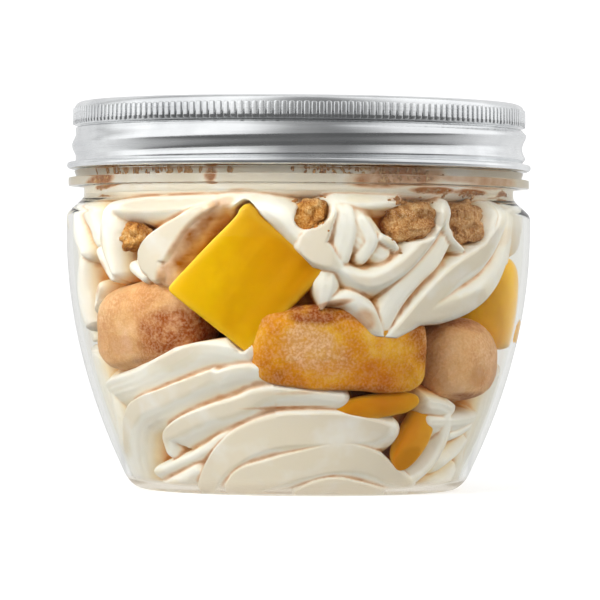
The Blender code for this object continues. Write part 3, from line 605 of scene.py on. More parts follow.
TOP_STROKES = (
    (2, ((-88, 47, 0.8, 5, 5), (-90, 38, 0.7, 5, 5), (-90, 29, 0.9, 4.5, 4.5))),
    (2.4, ((-92, 50.8, 0.1, 3.5, 3), (-84, 49.4, 0, 3.5, 3), (-77, 46.5, 0.2, 3, 2.8),
           (-73, 43.5, 0.8, 2, 2))),
    (3, ((-75.5, 41.5, 0.8, 2, 2.6), (-77, 37, 0.3, 2.6, 3), (-76.5, 32.5, 0.3, 2.6, 2.6),
         (-75, 28.5, 0.9, 1.8, 1.8))),
    (2, ((78, 54, 0.3, 4, 4), (83, 50, 0.3, 5, 5), (90, 46, 0.6, 4, 4))),
    (2, ((-80, 52.2, 1.6, 4, 4), (-68, 49, 1.4, 4, 4), (-63, 45.7, 1.2, 3, 3))),
    (2, ((-56, 50.7, 0.2, 5, 1.6), (-57, 47.1, 0, 4.6, 1.4), (-56, 43.5, 0.1, 3.4, 1.2),
         (-54, 39.9, 0.6, 2.2, 1.2))),
    (4, ((-61, 43.5, 1, 1.6, 1.6), (-58, 41.3, 0.9, 1.5, 1.6), (-55, 39, 1, 1.1, 1.2))),
    (4, ((-64, 37.2, 1.7, 1.4, 1.6), (-68, 33.7, 1.6, 1.6, 2), (-69, 29.3, 1.7, 1.4, 1.8))),
    (4, ((-22, 51.6, 0.2, 1.2, 1.4), (-28, 49.5, -0.2, 1.8, 1.6), (-34, 46, -0.6, 3.1, 3.1),
         (-39, 42.6, -0.7, 3.9, 3.9), (-38, 39.9, -0.3, 2.4, 2.4))),
    (4, ((-47, 40.8, 1.3, 1.6, 1.6), (-43, 39.2, 1.2, 1.6, 1.6))),
    (2, ((-22.5, 52, 0.8, 3, 6.5), (-30.5, 46, 0.8, 3, 7), (-35, 41, 0.9, 3, 6.5),
         (-35, 37, 1.6, 3, 6))),
    (2, ((-56, 51.4, 0.4, 2.6, 2.4), (-43, 51.3, -0.2, 3, 2.6), (-32, 51.5, -0.2, 3, 2.4),
         (-23, 52.2, 0.2, 3, 2))),
    (2, ((-21, 53.1, 0.8, 3, 3), (-15, 53.4, 0.4, 3, 3.4), (-9, 52, 0.3, 3.4, 4),
         (-4, 49.5, 0.3, 4, 3), (0, 46.4, 0.6, 3, 2.4))),
    (4, ((8.2, 50.6, 0.2, 1.4, 1), (5.4, 47.6, -0.4, 2.6, 1.8), (3.3, 44.8, -0.6, 3.2, 3.3),
         (6.5, 42.6, -0.3, 3, 2.6), (9.4, 41.2, 0.2, 2, 1.6))),
    (4, ((9, 51, 1.1, 4, 4), (15, 47.5, 1.0, 4, 5), (21, 44, 1.2, 3, 3))),
    (4, ((11.5, 52.4, 0.7, 1.7, 4.4), (12.5, 47.5, 0.5, 2, 4.2), (11.3, 43.1, 0.7, 1.8, 3.4))),
    (4, ((16.2, 49.3, 0.7, 1, 2.4), (18.8, 45.8, 0.35, 1.2, 2.6), (16.3, 42.8, 0.8, 1.4, 2))),
    (3, ((20.9, 46.2, 0.2, 1.1, 1.3), (23.3, 45.3, 0.1, 1.2, 1.3), (24.8, 44.5, 0.5, 1, 1))),
    (2, ((10, 53, 0.2, 3, 2.6), (17, 52.9, 0.1, 3, 2.6), (26, 53, 0.4, 3, 2.2))),
    (2, ((10.2, 40.8, 0.3, 1.8, 2.2), (14.7, 38.9, -0.1, 2.4, 2.4), (19.4, 38.6, -0.3, 2.6, 2.6),
         (26.1, 41.1, -0.3, 2.6, 2.6), (32.4, 45.4, -0.3, 2.2, 2.4), (36.9, 49.2, -0.2, 1.8, 2),
         (40.5, 52.6, 0, 1.2, 1.6))),
    (4, ((22.3, 31, 0.7, 2.2, 3), (24.7, 35.3, 0.75, 2.6, 3.2), (29.9, 39.4, 0.8, 2.4, 3),
         (36.2, 43.2, 0.9, 2.2, 3), (40.1, 46.9, 1.1, 2, 2.6))),
    (3, ((8.2, 35.3, 1.1, 1.4, 1.4), (12.9, 35.4, 0.3, 2.2, 2.1), (17.2, 33.2, -0.1, 2.5, 2.3),
         (20.3, 30.2, 0, 2, 2), (22, 28.8, 0.4, 1.4, 1.5))),
    (3, ((23.4, 28.5, 0.3, 1.4, 3.4), (29.3, 32.6, -0.1, 1.5, 4.4), (35.2, 37.1, -0.2, 1.5, 5),
         (42.2, 41, -0.2, 1.6, 5.2), (51.3, 44.3, -0.1, 1.6, 5), (58.9, 48.9, 0.1, 1.5, 4.6),
         (63, 53, 0.5, 1.5, 4))),
    (4, ((32.3, 32.1, 0, 3.4, 1.9), (41.8, 33.5, 0, 4, 2.5), (50.8, 35.6, 0, 4, 2.6),
         (59.2, 39.3, 0.3, 3.6, 2.6), (65.7, 44.8, 0.8, 3, 2.4), (69, 50, 1.2, 2.6, 2.4))),
    (4, ((7.6, 39.4, 1.0, 2.4, 2.8), (7.2, 37.8, 0.7, 2.9, 3.1), (6.6, 35.6, 0.7, 1.9, 2),
         (6.2, 33.9, 0.9, 0.6, 0.6))),
    (2, ((41, 52.6, 0.1, 0.9, 0.9), (39, 48.9, 0, 1, 1), (41, 46.2, 0.2, 1.1, 1.1),
         (45, 44.3, 0.5, 1.2, 1.2))),
    (2, ((59, 52.7, 0.3, 1, 1.4), (58, 50.9, 0.1, 1, 1.2), (56, 48, 0.2, 1.2, 1.2))),
    (4, ((27, 30, 1.2, 1.1, 1.1), (30, 30.9, 1.2, 1, 1))),
    (2, ((71, 52.3, 0.9, 2.6, 2.6), (72, 48.1, 1.4, 2.4, 2.4), (71, 42.3, 1.7, 2, 2))),
    (4, ((-91, 56.2, -0.6, 5, 3), (-45, 56.4, -0.6, 5, 3), (0, 56.6, -0.6, 5, 3),
         (30, 56.6, -0.6, 5, 3.4), (60, 56.4, -0.6, 5, 3), (91, 56.2, -0.6, 5, 3))),
)

# Height of the lower cream's upper edge and of the upper cream's lower edge, by angle
BASE_EDGE = ((-90, 26.5), (-78, 24), (-72, 22.3), (-50, 23.3), (-35, 26.6), (-16, 28.9),
             (-12, 27), (-6, 19.6), (10, 18.6), (34, 18.3), (50, 16.4), (68, 17.4), (90, 25.5))
TOP_EDGE = ((-90, 26.9), (-80, 28), (-73, 31), (-64, 36), (-54, 38), (-36, 37.8), (-15, 36),
            (2, 33.4), (12, 32), (19, 29), (26, 28.6), (33, 30.8), (50, 31.2), (59, 34), (74, 42),
            (90, 44.2))
print(len(BASE_STROKES), "strokes below,", len(TOP_STROKES), "above")

# %% Work out the relief
# How far the lower and upper cream fall behind the wall within a stroke's width, and at most
DROP_BELOW, DROP_ABOVE, DEEPEST = 2.2, 3.0, 6.0
BLEND_MM = 0.25
RIPPLE_MM, RIPPLE_EVERY = 0.05, 1.05
NOTHING, REACH = 99.0, 1.7


def smooth_path(points, steps=5):
    """Points along a smooth curve through the given ones (a Catmull-Rom spline)."""
    held = np.array(points, float)
    held = np.vstack([2 * held[0] - held[1], held, 2 * held[-1] - held[-2]])
    path = []
    for a, b, c, d in zip(held, held[1:], held[2:], held[3:]):
        for t in np.arange(steps) / steps:
            path.append(0.5 * (2 * b + (c - a) * t + (2 * a - 5 * b + 4 * c - d) * t * t
                               + (3 * b - a - 3 * c + d) * t ** 3))
    path.append(held[-2])
    return np.array(path)


def smooth_min(a, b, width):
    """The smaller of two depths, with the corner where they are equal rounded off."""
    share = np.clip(0.5 + 0.5 * (b - a) / width, 0, 1)
    return b + (a - b) * share - width * share * (1 - share)


def stroke_depth(angle, height, strokes, drop):
    """How far the strokes of the front lie behind the wall at arrays of angles and heights."""
    depth = np.full(angle.shape, NOTHING)
    for number, (power, points) in enumerate(strokes):
        path = smooth_path(points)
        middle = path[len(path) // 2, 0]
        per_degree = math.radians(1) * float(wall_inside(path[:, 1].mean()))
        across = ((angle - middle + 180) % 360 - 180) * per_degree
        path[:, 0] = (path[:, 0] - middle) * per_degree
        reach = REACH * path[:, 3:].max()
        near = ((across > path[:, 0].min() - reach) & (across < path[:, 0].max() + reach)
                & (height > path[:, 1].min() - reach) & (height < path[:, 1].max() + reach))
        x, z = across[near], height[near]
        nearest, found = np.full(x.shape, NOTHING), np.full(x.shape, NOTHING)
        for a, b in zip(path, path[1:]):
            run, rise = b[0] - a[0], b[1] - a[1]
            share = np.clip(((x - a[0]) * run + (z - a[1]) * rise) / (run * run + rise * rise), 0, 1)
            off_x, off_z = x - a[0] - share * run, z - a[1] - share * rise
            away = np.hypot(off_x, off_z)
            held = a + share[:, None] * (b - a)
            leftness = (run * off_z - rise * off_x) / np.maximum(away * math.hypot(run, rise), 1e-9)
            width = held[:, 4] + (held[:, 3] - held[:, 4]) * (1 + leftness) / 2
            here = held[:, 2] + drop * (away / width) ** power
            here += (RIPPLE_MM * np.clip(here, 0, 1)
                     * np.cos(2 * math.pi * away / RIPPLE_EVERY + number))
            closer = away < nearest
            found = np.where(closer, here, found)
            nearest = np.where(closer, away, nearest)
        depth[near] = smooth_min(depth[near], found, BLEND_MM)
    return depth


def relief(angle, height, strokes, drop):
    """Depth behind the wall all round: the back is filled as the front is, mirrored."""
    depth = smooth_min(stroke_depth(angle, height, strokes, drop),
                       stroke_depth(180 - angle, height, strokes, drop), BLEND_MM)
    depth = np.minimum(depth, DEEPEST)
    return hold_back(180 - angle, height, hold_back(angle, height, depth))


def framed(angle, height, at, z, tilt):
    """Distances in mm on the wall along and across a piece that lies there, tilted."""
    across = ((angle - at + 180) % 360 - 180) * math.radians(1) * float(wall_inside(z))
    lean = math.radians(tilt)
    return (across * math.cos(lean) + (height - z) * math.sin(lean),
            (height - z) * math.cos(lean) - across * math.sin(lean))


# Hollows in which the block and the lumps stand, set a little off each piece: angle, height,
# half length, half height, tilt, squareness
NESTS = ((-14.3, 39.3, 10.35, 9.5, 46.0, 14), (-46.0, 46.3, 3.0, 2.4, 35.0, 2.2),
         (3.5, 50.2, 3.6, 2.4, 25.0, 2.2), (30.6, 49.0, 5.2, 3.4, 10.0, 2.4),
         (49.0, 48.8, 4.2, 3.9, 0.0, 2.4))
NEST_SLOPE = 0.4


def hold_back(angle, height, depth):
    """Deepens the relief inside the outline of each piece that stands in the cream."""
    for at, z, length, tall, tilt, square in NESTS:
        along, up = framed(angle, height, at, z, tilt)
        out = ((np.abs(along) / length) ** square + (np.abs(up) / tall) ** square) ** (1 / square)
        inside = (1 - out) * min(length, tall) / NEST_SLOPE
        depth = np.maximum(depth, DEEPEST * np.clip(inside, 0, 1))
    return depth


def spotted(angle, height, spots):
    """Strength of soft spots: angle, height, half width, half height, tilt, strength."""
    total = np.zeros(angle.shape)
    for at, z, wide, tall, tilt, strength in spots:
        for side in (angle, 180 - angle):
            along, up = framed(side, height, at, z, tilt)
            soft = np.clip(1.5 * (1 - (along / wide) ** 2 - (up / tall) ** 2), 0, 1)
            total = np.maximum(total, strength * soft)
    return total


def edge_height(angle, edge):
    """Height of a cream edge at an angle. The back repeats the front's edge, mirrored."""
    turned = (angle + 90) % 360 - 90
    turned = np.where(turned > 90, 180 - turned, turned)
    return np.interp(turned, [a for a, _ in edge], [z for _, z in edge])


def wavy(points, scale, seed, octaves=3):
    """Smooth noise between about -1 and 1 at points in millimetres."""
    shift = Vector((seed, seed * 1.7, -seed))
    return np.array([noise.fractal(Vector(p) / scale + shift, 1.0, 2.0, octaves)
                     for p in points.tolist()])


# %% Where syrup and loose crumbs lie on the cream
# Each spot is an angle, a height, half a width, half a height, a tilt and a strength
# Most spots are syrup stains; those in the hollows on either side of the mango block are painted
# shade as well
SYRUP_AND_SHADE = (
    (-40, 58.7, 24, 0.6, 0, 1.0), (12, 58.7, 12, 0.6, 0, 1.0), (29, 57.4, 9, 1.8, 0, 1.0),
    (21, 56.4, 7, 1.5, 0, 0.85), (-62, 56.4, 6, 1.4, 8, 1.1), (-23, 57.2, 1.4, 1.4, 0, 1.0),
    (-15, 54.3, 3.5, 0.8, 0, 0.45), (38, 55.0, 6, 1.1, 0, 1.2), (52, 54.8, 6, 1.0, 0, 1.1),
    (70, 54.3, 3, 1.6, 0, 1.1), (60, 56.6, 9, 1.2, 0, 0.7), (31, 52.8, 6, 0.9, 0, 0.7),
    (52, 57.0, 14, 0.8, 0, 0.6), (-26.5, 45.2, 3.4, 10, -42, 0.8), (-33, 39.5, 3, 4, -42, 0.7),
    (-20, 51.8, 3, 1.4, 20, 0.5), (0.5, 32.6, 3.2, 3.4, -20, 1.0), (3.6, 34.8, 0.8, 3.0, 32, 1.2),
    (8, 33.2, 3, 0.6, 0, 0.8), (9, 34.6, 4, 0.8, 12, 0.7), (17, 31.8, 2, 2.6, 40, 0.5),
    (-60, 40, 2.5, 2.5, 30, 0.6), (-66, 38, 2, 3, 20, 0.5), (45, 46.2, 3.2, 0.8, -30, 0.6),
    (66, 47, 4, 1.5, 30, 0.2), (10, 19.2, 14, 0.5, 3, 0.35), (36, 14.2, 5, 3, 50, 0.3),
    (-3, 16.2, 9, 0.35, 2, 0.8),
)
CRUMB_SPOTS = (
    (-40, 58.2, 22, 0.6, 0, 0.9), (12, 58.2, 12, 0.8, 0, 1.0), (29, 57.2, 8, 1.4, 0, 1.0),
    (-62, 56.2, 5, 1.0, 8, 0.8), (38, 54.7, 5, 0.8, 0, 1.0), (52, 54.4, 5, 0.6, 0, 0.9),
    (70, 54.3, 3, 1.6, 0, 1.0), (31, 52.6, 6, 0.8, 0, 1.0), (4, 53.1, 4, 0.5, 10, 0.6),
    (-46, 44.2, 3, 1.2, 35, 0.5), (6, 47.9, 2.6, 0.8, -20, 0.4), (45, 46.4, 3, 0.7, -30, 0.8),
    (24, 46.4, 3, 0.8, 20, 0.3), (30, 45.0, 5, 0.6, 30, 0.15), (9, 34.6, 4, 0.6, 12, 0.2),
)
print(len(SYRUP_AND_SHADE), "spots of syrup,", len(CRUMB_SPOTS), "of crumbs")

# %% Build both bodies of cream
# The cream reaches a little into the wall, so that no air gap shows between them
CREAM_IN_WALL, CREAM_COLUMNS, CAP_ROWS = 0.08, 840, 8
# Syrup colour in the creases, partly painted shade there
CREASE_DEPTH, CREASE_SYRUP_AND_SHADE = 0.3, 0.65
ROUGH_EVERY, ROUGH_SHARE = 3.2, 0.10
CREAM_FOOT, CREAM_TOP, SIDE_R = 0.9, 58.6, 28
# The tone of the cream's open top, as that of cream so many millimetres behind the wall
FRESH = 0.4


def blurred(depth, reach=3):
    """The relief averaged over its neighbours, from which each crease stands out."""
    rows = np.arange(depth.shape[0])
    total = np.zeros(depth.shape)
    for up in range(-reach, reach + 1):
        row = depth[np.clip(rows + up, 0, rows[-1])]
        for along in range(-reach, reach + 1):
            total += np.roll(row, along, axis=1)
    return total / (2 * reach + 1) ** 2


def cap_rings(radius, turn, height, middle):
    """Rings from the edge of a body inwards, on a shallow dome that ends at a middle height."""
    share = np.linspace(1, 0, CAP_ROWS + 2)[1:-1, None]
    return round_axis(radius * share, turn, middle + (height - middle) * share ** 2)


def each_point(under, side, over):
    """One number for each point of a body, given for its underside, its side and its top."""
    cap = CAP_ROWS * CREAM_COLUMNS
    return np.concatenate([np.full(cap, under), side.ravel(), np.full(cap, over), [under, over]])


def cream_body(name, strokes, drop, edges, middles, wall_rows, seed, top_hollow):
    """A closed body of cream: an underside, a side that carries the relief, and a top."""
    angle = np.arange(CREAM_COLUMNS) * 360 / CREAM_COLUMNS - 180
    low, high = (edge_height(angle, edge) for edge in edges)
    height = low + (high - low) * np.linspace(0, 1, wall_rows)[:, None]
    angles = np.broadcast_to(angle, height.shape)
    turn = np.radians(angles)
    depth = relief(angles, height, strokes, drop)
    crease = np.clip((depth - blurred(depth)) / CREASE_DEPTH, 0, 1)
    at_wall = round_axis(wall_inside(height), turn, height).reshape(-1, 3)
    rough = wavy(at_wall, ROUGH_EVERY, seed).reshape(height.shape)
    depth = depth + ROUGH_SHARE * rough * np.clip(depth, 0, 1.5)
    radius = wall_inside(height) + CREAM_IN_WALL - np.clip(depth, 0, None)
    under = cap_rings(radius[0], turn[0], height[0], middles[0])[::-1]
    over = cap_rings(radius[-1], turn[0], height[-1], middles[1])
    grid = np.concatenate([under, round_axis(radius, turn, height), over])
    points = np.vstack([grid.reshape(-1, 3), [(0, 0, middle) for middle in middles]])
    piece = mesh_piece(name, points, capped_faces(len(grid), CREAM_COLUMNS))
    turned, z = angle_of(points), points[:, 2]
    on_side = np.hypot(points[:, 0], points[:, 1]) > SIDE_R
    uneven = np.clip(0.95 + 0.35 * wavy(points, 2.2, seed + 2), 0, 1.3)
    # The creases take syrup colour, partly as painted shade
    crease_syrup_and_shade = CREASE_SYRUP_AND_SHADE * each_point(0, crease, 0)
    # The underside, and the top of the lower cream, are marked deepest: painted shade under other
    # pieces
    mark_points(piece, {
        "hollow": each_point(DEEPEST, depth, top_hollow),
        "syrup": np.maximum(spotted(turned, z, SYRUP_AND_SHADE) * on_side, crease_syrup_and_shade) * uneven,
        "crumbs": spotted(turned, z, CRUMB_SPOTS) * uneven * on_side})
    return piece


base_cream = cream_body("piped_cream_below", BASE_STROKES, DROP_BELOW,
                        edges=(((0, CREAM_FOOT),), BASE_EDGE), middles=(0.85, 29.5),
                        wall_rows=92, seed=4, top_hollow=DEEPEST)
top_cream = cream_body("piped_cream_above", TOP_STROKES, DROP_ABOVE,
                       edges=(TOP_EDGE, ((0, CREAM_TOP),)), middles=(30.2, 64.0),
                       wall_rows=100, seed=9, top_hollow=FRESH)

# %% [markdown]
# Whipped mascarpone is a white foam of fat and air. Light goes a little way in and comes out warm,
# so it gets a small subsurface weight, and its surface has the soft sheen of fat. Two numbers on
# each point mix its colour. One is how far the cream lies behind the wall: the deeper, the browner,
# which is painted shade in the recesses, and the cream under other pieces takes the deepest tone.
# The other is syrup from the soaked biscuits, which gathers in the creases and in a few spots; in
# the creases and in the hollows beside the mango block it is partly painted shade.

# %% Whipped mascarpone
mascarpone, tree, shader = new_material(
    "whipped_mascarpone", Roughness=0.5, IOR=1.45, Subsurface_Weight=0.18,
    Subsurface_Scale=0.0012, Subsurface_Radius=(1.0, 0.85, 0.6), Specular_IOR_Level=0.28)
hollow = add_node(tree, "ShaderNodeAttribute", {"attribute_name": "hollow"})
place = add_node(tree, "ShaderNodeTexCoord")
drift = add_node(tree, "ShaderNodeTexNoise", inputs={
    "Vector": place.outputs["Object"], "Scale": 160.0, "Detail": 3.0})
sway = add_node(tree, "ShaderNodeMath", {"operation": "MULTIPLY_ADD"}, {
    0: drift.outputs["Fac"], 1: 1.6, 2: -0.8})
level = add_node(tree, "ShaderNodeMath", {"operation": "ADD"}, {
    0: hollow.outputs["Fac"], 1: sway.outputs[0]})
share = add_node(tree, "ShaderNodeMath", {"operation": "DIVIDE"}, {
    0: level.outputs[0], 1: DEEPEST})
# Painted shade: the deeper the cream lies behind the wall, the browner, and pressed flat it is a
# little greyer
tone = add_node(tree, "ShaderNodeValToRGB", {"stops": [
    (0.0, "#ECE3D1"), (0.06, "#F3EFE7"), (0.3, "#F1EADC"), (0.5, "#ECD8B2"), (0.8, "#CC9050"),
    (1.0, "#8F4A1A")]}, {"Fac": share.outputs[0]})
syrup = add_node(tree, "ShaderNodeAttribute", {"attribute_name": "syrup"})
flattened = add_node(tree, "ShaderNodeMapping", inputs={
    "Vector": place.outputs["Object"], "Scale": (0.6, 0.6, 1.2)})
specks = add_node(tree, "ShaderNodeTexNoise", inputs={
    "Vector": flattened.outputs[0], "Scale": 900.0, "Detail": 3.0})
broken = add_node(tree, "ShaderNodeMath", {"operation": "MULTIPLY_ADD"}, {
    0: specks.outputs["Fac"], 1: 0.5, 2: 0.75})
amount = add_node(tree, "ShaderNodeMath", {"operation": "MULTIPLY", "use_clamp": True}, {
    0: syrup.outputs["Fac"], 1: broken.outputs[0]})
# Syrup stains, with painted shade in the creases and in the hollows beside the mango block
stain_and_shade = add_node(tree, "ShaderNodeValToRGB", {"stops": [
    (0.0, "#EACB86"), (0.5, "#D0882A"), (1.0, "#A45E10")]}, {"Fac": amount.outputs[0]})
stained_and_shaded = add_node(tree, "ShaderNodeMix", {"data_type": "RGBA"}, {
    0: amount.outputs[0], 6: tone.outputs["Color"], 7: stain_and_shade.outputs["Color"]})
tree.links.new(stained_and_shaded.outputs[2], shader.inputs["Base Color"])
fine = add_node(tree, "ShaderNodeTexNoise", inputs={
    "Vector": place.outputs["Object"], "Scale": 1400.0, "Detail": 4.0})
bump = add_node(tree, "ShaderNodeBump", inputs={
    "Height": fine.outputs["Fac"], "Strength": 0.18, "Distance": 0.0001})
tree.links.new(bump.outputs[0], shader.inputs["Normal"])
dress(base_cream, mascarpone, "cream", "cream_base")
dress(top_cream, mascarpone, "cream", "cream_top")

# %% [markdown]
# ## Ladyfingers
# Ladyfingers are piped sponge biscuits, baked dry and dusted with sugar, so they are long rounded
# rolls with a fine crumb and open pores. Here they lie against the wall and are pressed flat where
# they touch it. A ball of triangles is stretched to a squarish roll, bent round the wall, roughened
# with noise and pits along its normals, and last pressed back inside the wall, so that pits stay
# open on the flat. Three lie in front, and three more behind as their mirror images. The thin
# slices of mango and the biscuit lumps are made the same way, each with a roughness of its own.

# %% A rounded piece that follows the wall
GAP, FOOD_IN_WALL = 0.3, 0.05


def ball(subdivisions):
    """Unit directions and triangles of an icosphere."""
    bm = bmesh.new()
    bmesh.ops.create_icosphere(bm, subdivisions=subdivisions, radius=1)
    points = np.array([v.co for v in bm.verts])
    faces = [[v.index for v in f.verts] for f in bm.faces]
    bm.free()
    return points / np.linalg.norm(points, axis=1)[:, None], faces


def rolled_form(angle, z, length, tall, deep, tilt, square, subdivisions):
    """Points of a squarish ball with the given half sizes, bent round the wall, and its faces."""
    n, faces = ball(subdivisions)
    n = n / (np.abs(n) ** square).sum(axis=1)[:, None] ** (1 / square)
    lean = math.radians(tilt)
    along, up, out = n[:, 2] * length, n[:, 1] * tall, n[:, 0] * deep
    turned = along * math.cos(lean) - up * math.sin(lean)
    lifted = along * math.sin(lean) + up * math.cos(lean)
    middle_r = float(min(wall_inside(z), wall_inside(z + 0.8 * tall))) - GAP - deep * 0.93
    turn = math.radians(angle) + turned / float(wall_inside(z))
    return round_axis(middle_r + out, turn, z + lifted), faces


def normals_of(points, faces):
    """Outward normals at the points of a mesh of triangles or quads."""
    faces = np.array(faces)
    corners = points[faces]
    flat = np.cross(corners[:, 1] - corners[:, 0], corners[:, 2] - corners[:, 0])
    total = np.zeros(points.shape)
    for column in range(faces.shape[1]):
        np.add.at(total, faces[:, column], flat)
    total = total / np.maximum(np.linalg.norm(total, axis=1), 1e-12)[:, None]
    outwards = (total * (points - points.mean(axis=0))).sum() > 0
    return total if outwards else -total


def pressed(points, into=0.0, ease=0.3):
    """Holds every point inside the wall, or a little into it, and eases the flat's edge."""
    most = wall_inside(points[:, 2]) + into
    radius = np.hypot(points[:, 0], points[:, 1])
    held = most - ease * np.logaddexp(0, (most - radius) / ease)
    points[:, :2] *= (held / np.maximum(radius, 1e-9))[:, None]
    return points


def pits(points, spacing, seed):
    """Depth of scattered round pits, 0 between them and 1 at their middles."""
    shift = Vector((seed, -seed, 2 * seed))
    nearest = [noise.voronoi(Vector(p) / spacing + shift)[0][0] for p in points.tolist()]
    return np.clip(1 - np.array(nearest) / 0.42, 0, 1) ** 1.5


def mirrored(points):
    """The same points as seen in a mirror that stands across the jar."""
    return points * np.array([1, -1, 1])


def food_pair(name, form, seeds, swell, marks=None, subdivisions=6):
    """Makes a piece of food in front and its mirror image behind, each with its name's ending."""
    for seed, ending in zip(seeds, ("", "_back")):
        points, faces = rolled_form(*form, subdivisions)
        points = points + normals_of(points, faces) * swell(points, seed)[:, None]
        points = pressed(points, FOOD_IN_WALL)
        piece = mesh_piece(name + ending, mirrored(points) if ending else points, faces)
        if marks:
            mark_points(piece, marks(points, seed))
        yield ending, piece


# %% Bake the ladyfingers
# Each has an angle, a height, half a length, height and depth, a tilt and a squareness
FINGERS = (
    ("ladyfinger_left", -50.5, 30.6, 15.8, 8.0, 7.6, 7.0, 3.0),
    ("ladyfinger_middle", 12.4, 26.7, 17.7, 7.5, 7.0, -2.5, 5.0),
    ("ladyfinger_right", 60.2, 24.5, 10.4, 7.5, 7.0, 2.0, 2.7),
)
# Browned by the oven, dark with syrup, and painted shade where the mango block shades the left and
# middle fingers; and where sugar lies: as the spots on the cream
TOAST_AND_SHADE = (
    (-33, 29.5, 10, 5.5, 10, 1.05), (-38, 25.5, 9, 2.0, 12, 0.6), (15, 33.2, 10, 1.8, -6, 0.9),
    (31, 32, 6, 2.5, 0, 0.7), (36, 29, 5, 6, 0, 0.6), (55, 32, 8, 2.2, -10, 0.7),
    (58, 17.5, 9, 1.6, 0, 0.7), (4, 33.0, 6.5, 2.8, -4, 1.0), (20, 19.6, 10, 0.8, 0, 0.4),
    (-2, 20.5, 4, 2.5, -40, 0.5),
)
SUGAR = ((3, 27.0, 5.6, 4.6, -15, 1.0), (-62, 33, 7, 3.5, 20, 0.5), (9, 24.5, 5, 3.5, 0, 0.5),
         (60, 26, 6, 4, 0, 0.35), (38, 29, 2.5, 3, 0, 0.35))


def sponge_swell(points, seed):
    """Broad lumps and a fine crumb, with open pores."""
    return (0.35 * wavy(points, 7.0, seed, 2) + 0.07 * wavy(points, 0.8, seed)
            - 0.08 * pits(points, 0.75, seed) - 0.1)


def sponge_marks(points, seed):
    """How browned each point is, partly as painted shade, and how sugared."""
    turned, uneven = angle_of(points), np.clip(0.9 + 0.7 * wavy(points, 2.4, seed), 0, 1.4)
    return {"toast": spotted(turned, points[:, 2], TOAST_AND_SHADE) * uneven,
            "sugar": spotted(turned, points[:, 2], SUGAR) * uneven}


sponges = {name + ending: piece for name, *form in FINGERS
           for ending, piece in food_pair("baked_" + name, form, (3, 8), sponge_swell, sponge_marks)}
print(len(sponges), "ladyfingers")

# %% [markdown]
# A dry ladyfinger is golden brown where the oven reached it and paler in its pores and where sugar
# clings to it. Where it has soaked up syrup it darkens to orange brown and turns glossy. Both come
# from one recipe with two sets of colours. Large noise and the browned spots darken it, and some of
# those spots are painted shade where the mango block shades the fingers. Fine noise scatters grains
# of sugar, more of them where sugar lies.

# %% Baked and soaked sponge
def sponge_material(name, stops, toast_and_shade_colour, grains, roughness, wet):
    """Baked sponge: broad browning, dark spots that are toast and partly painted shade, sugared
    spots, a fine crumb.
    """
    material, tree, shader = new_material(
        name, Roughness=roughness, Subsurface_Weight=0.12, Subsurface_Scale=0.001,
        Specular_IOR_Level=wet)
    place = add_node(tree, "ShaderNodeTexCoord")
    broad = add_node(tree, "ShaderNodeTexNoise", inputs={
        "Vector": place.outputs["Object"], "Scale": 130.0, "Detail": 5.0, "Roughness": 0.6})
    browning = add_node(tree, "ShaderNodeValToRGB", {"stops": stops}, {
        "Fac": broad.outputs["Fac"]})
    # Dark spots: toast, and painted shade under the mango block
    toast = add_node(tree, "ShaderNodeAttribute", {"attribute_name": "toast"})
    darker = add_node(tree, "ShaderNodeMix", {"data_type": "RGBA"}, {
        0: toast.outputs["Fac"], 6: browning.outputs["Color"], 7: linear(toast_and_shade_colour)})
    fine = add_node(tree, "ShaderNodeTexNoise", inputs={
        "Vector": place.outputs["Object"], "Scale": 2100.0, "Detail": 3.0})
    sugar = add_node(tree, "ShaderNodeAttribute", {"attribute_name": "sugar"})
    most = add_node(tree, "ShaderNodeMath", {"operation": "MULTIPLY_ADD"}, {
        0: sugar.outputs["Fac"], 1: 0.75, 2: 0.28})
    specks = add_node(tree, "ShaderNodeMapRange", inputs={
        "Value": fine.outputs["Fac"], "From Min": 0.42, "From Max": 0.64,
        "To Max": most.outputs[0]})
    patch = add_node(tree, "ShaderNodeMath", {"operation": "MULTIPLY", "use_clamp": True}, {
        0: sugar.outputs["Fac"], 1: 0.8})
    dusted = add_node(tree, "ShaderNodeMix", {"data_type": "RGBA"}, {
        0: patch.outputs[0], 6: darker.outputs[2], 7: linear("#D9A06C")})
    sugared = add_node(tree, "ShaderNodeMix", {"data_type": "RGBA"}, {
        0: specks.outputs[0], 6: dusted.outputs[2], 7: linear(grains)})
    tree.links.new(sugared.outputs[2], shader.inputs["Base Color"])
    bump = add_node(tree, "ShaderNodeBump", inputs={
        "Height": fine.outputs["Fac"], "Strength": 0.45, "Distance": 0.0002})
    tree.links.new(bump.outputs[0], shader.inputs["Normal"])
    return material


baked = sponge_material("baked_sponge", [(0.32, "#C98A52"), (0.5, "#DDA870"), (0.68, "#E6BA90")],
                        "#984A10", "#F3CDA4", 0.75, 0.3)
soaked = sponge_material("soaked_sponge", [(0.34, "#C87206"), (0.5, "#DC9204"), (0.66, "#ECB63C")],
                         "#94450A", "#F0C498", 0.5, 0.25)
for name, piece in sponges.items():
    wet = "middle" in name
    dress(piece, soaked if wet else baked, "soaked_sponge" if wet else "sponge", name)

# %% [markdown]
# ## Mango
# The mango is ripe and firm, cut into blocks and thin slices, so it has flat faces with softly
# rounded edges and a moist shine. The large block stands on one corner with a face towards the
# wall. Its faces are made as a fine grid on a box whose corners are rounded, which keeps its size
# exact, and a slow unevenness along the fibres keeps the faces from being dead flat. One of its
# sides and its edges are painted paler, a painted highlight where light falls on them, and its
# points carry how much.

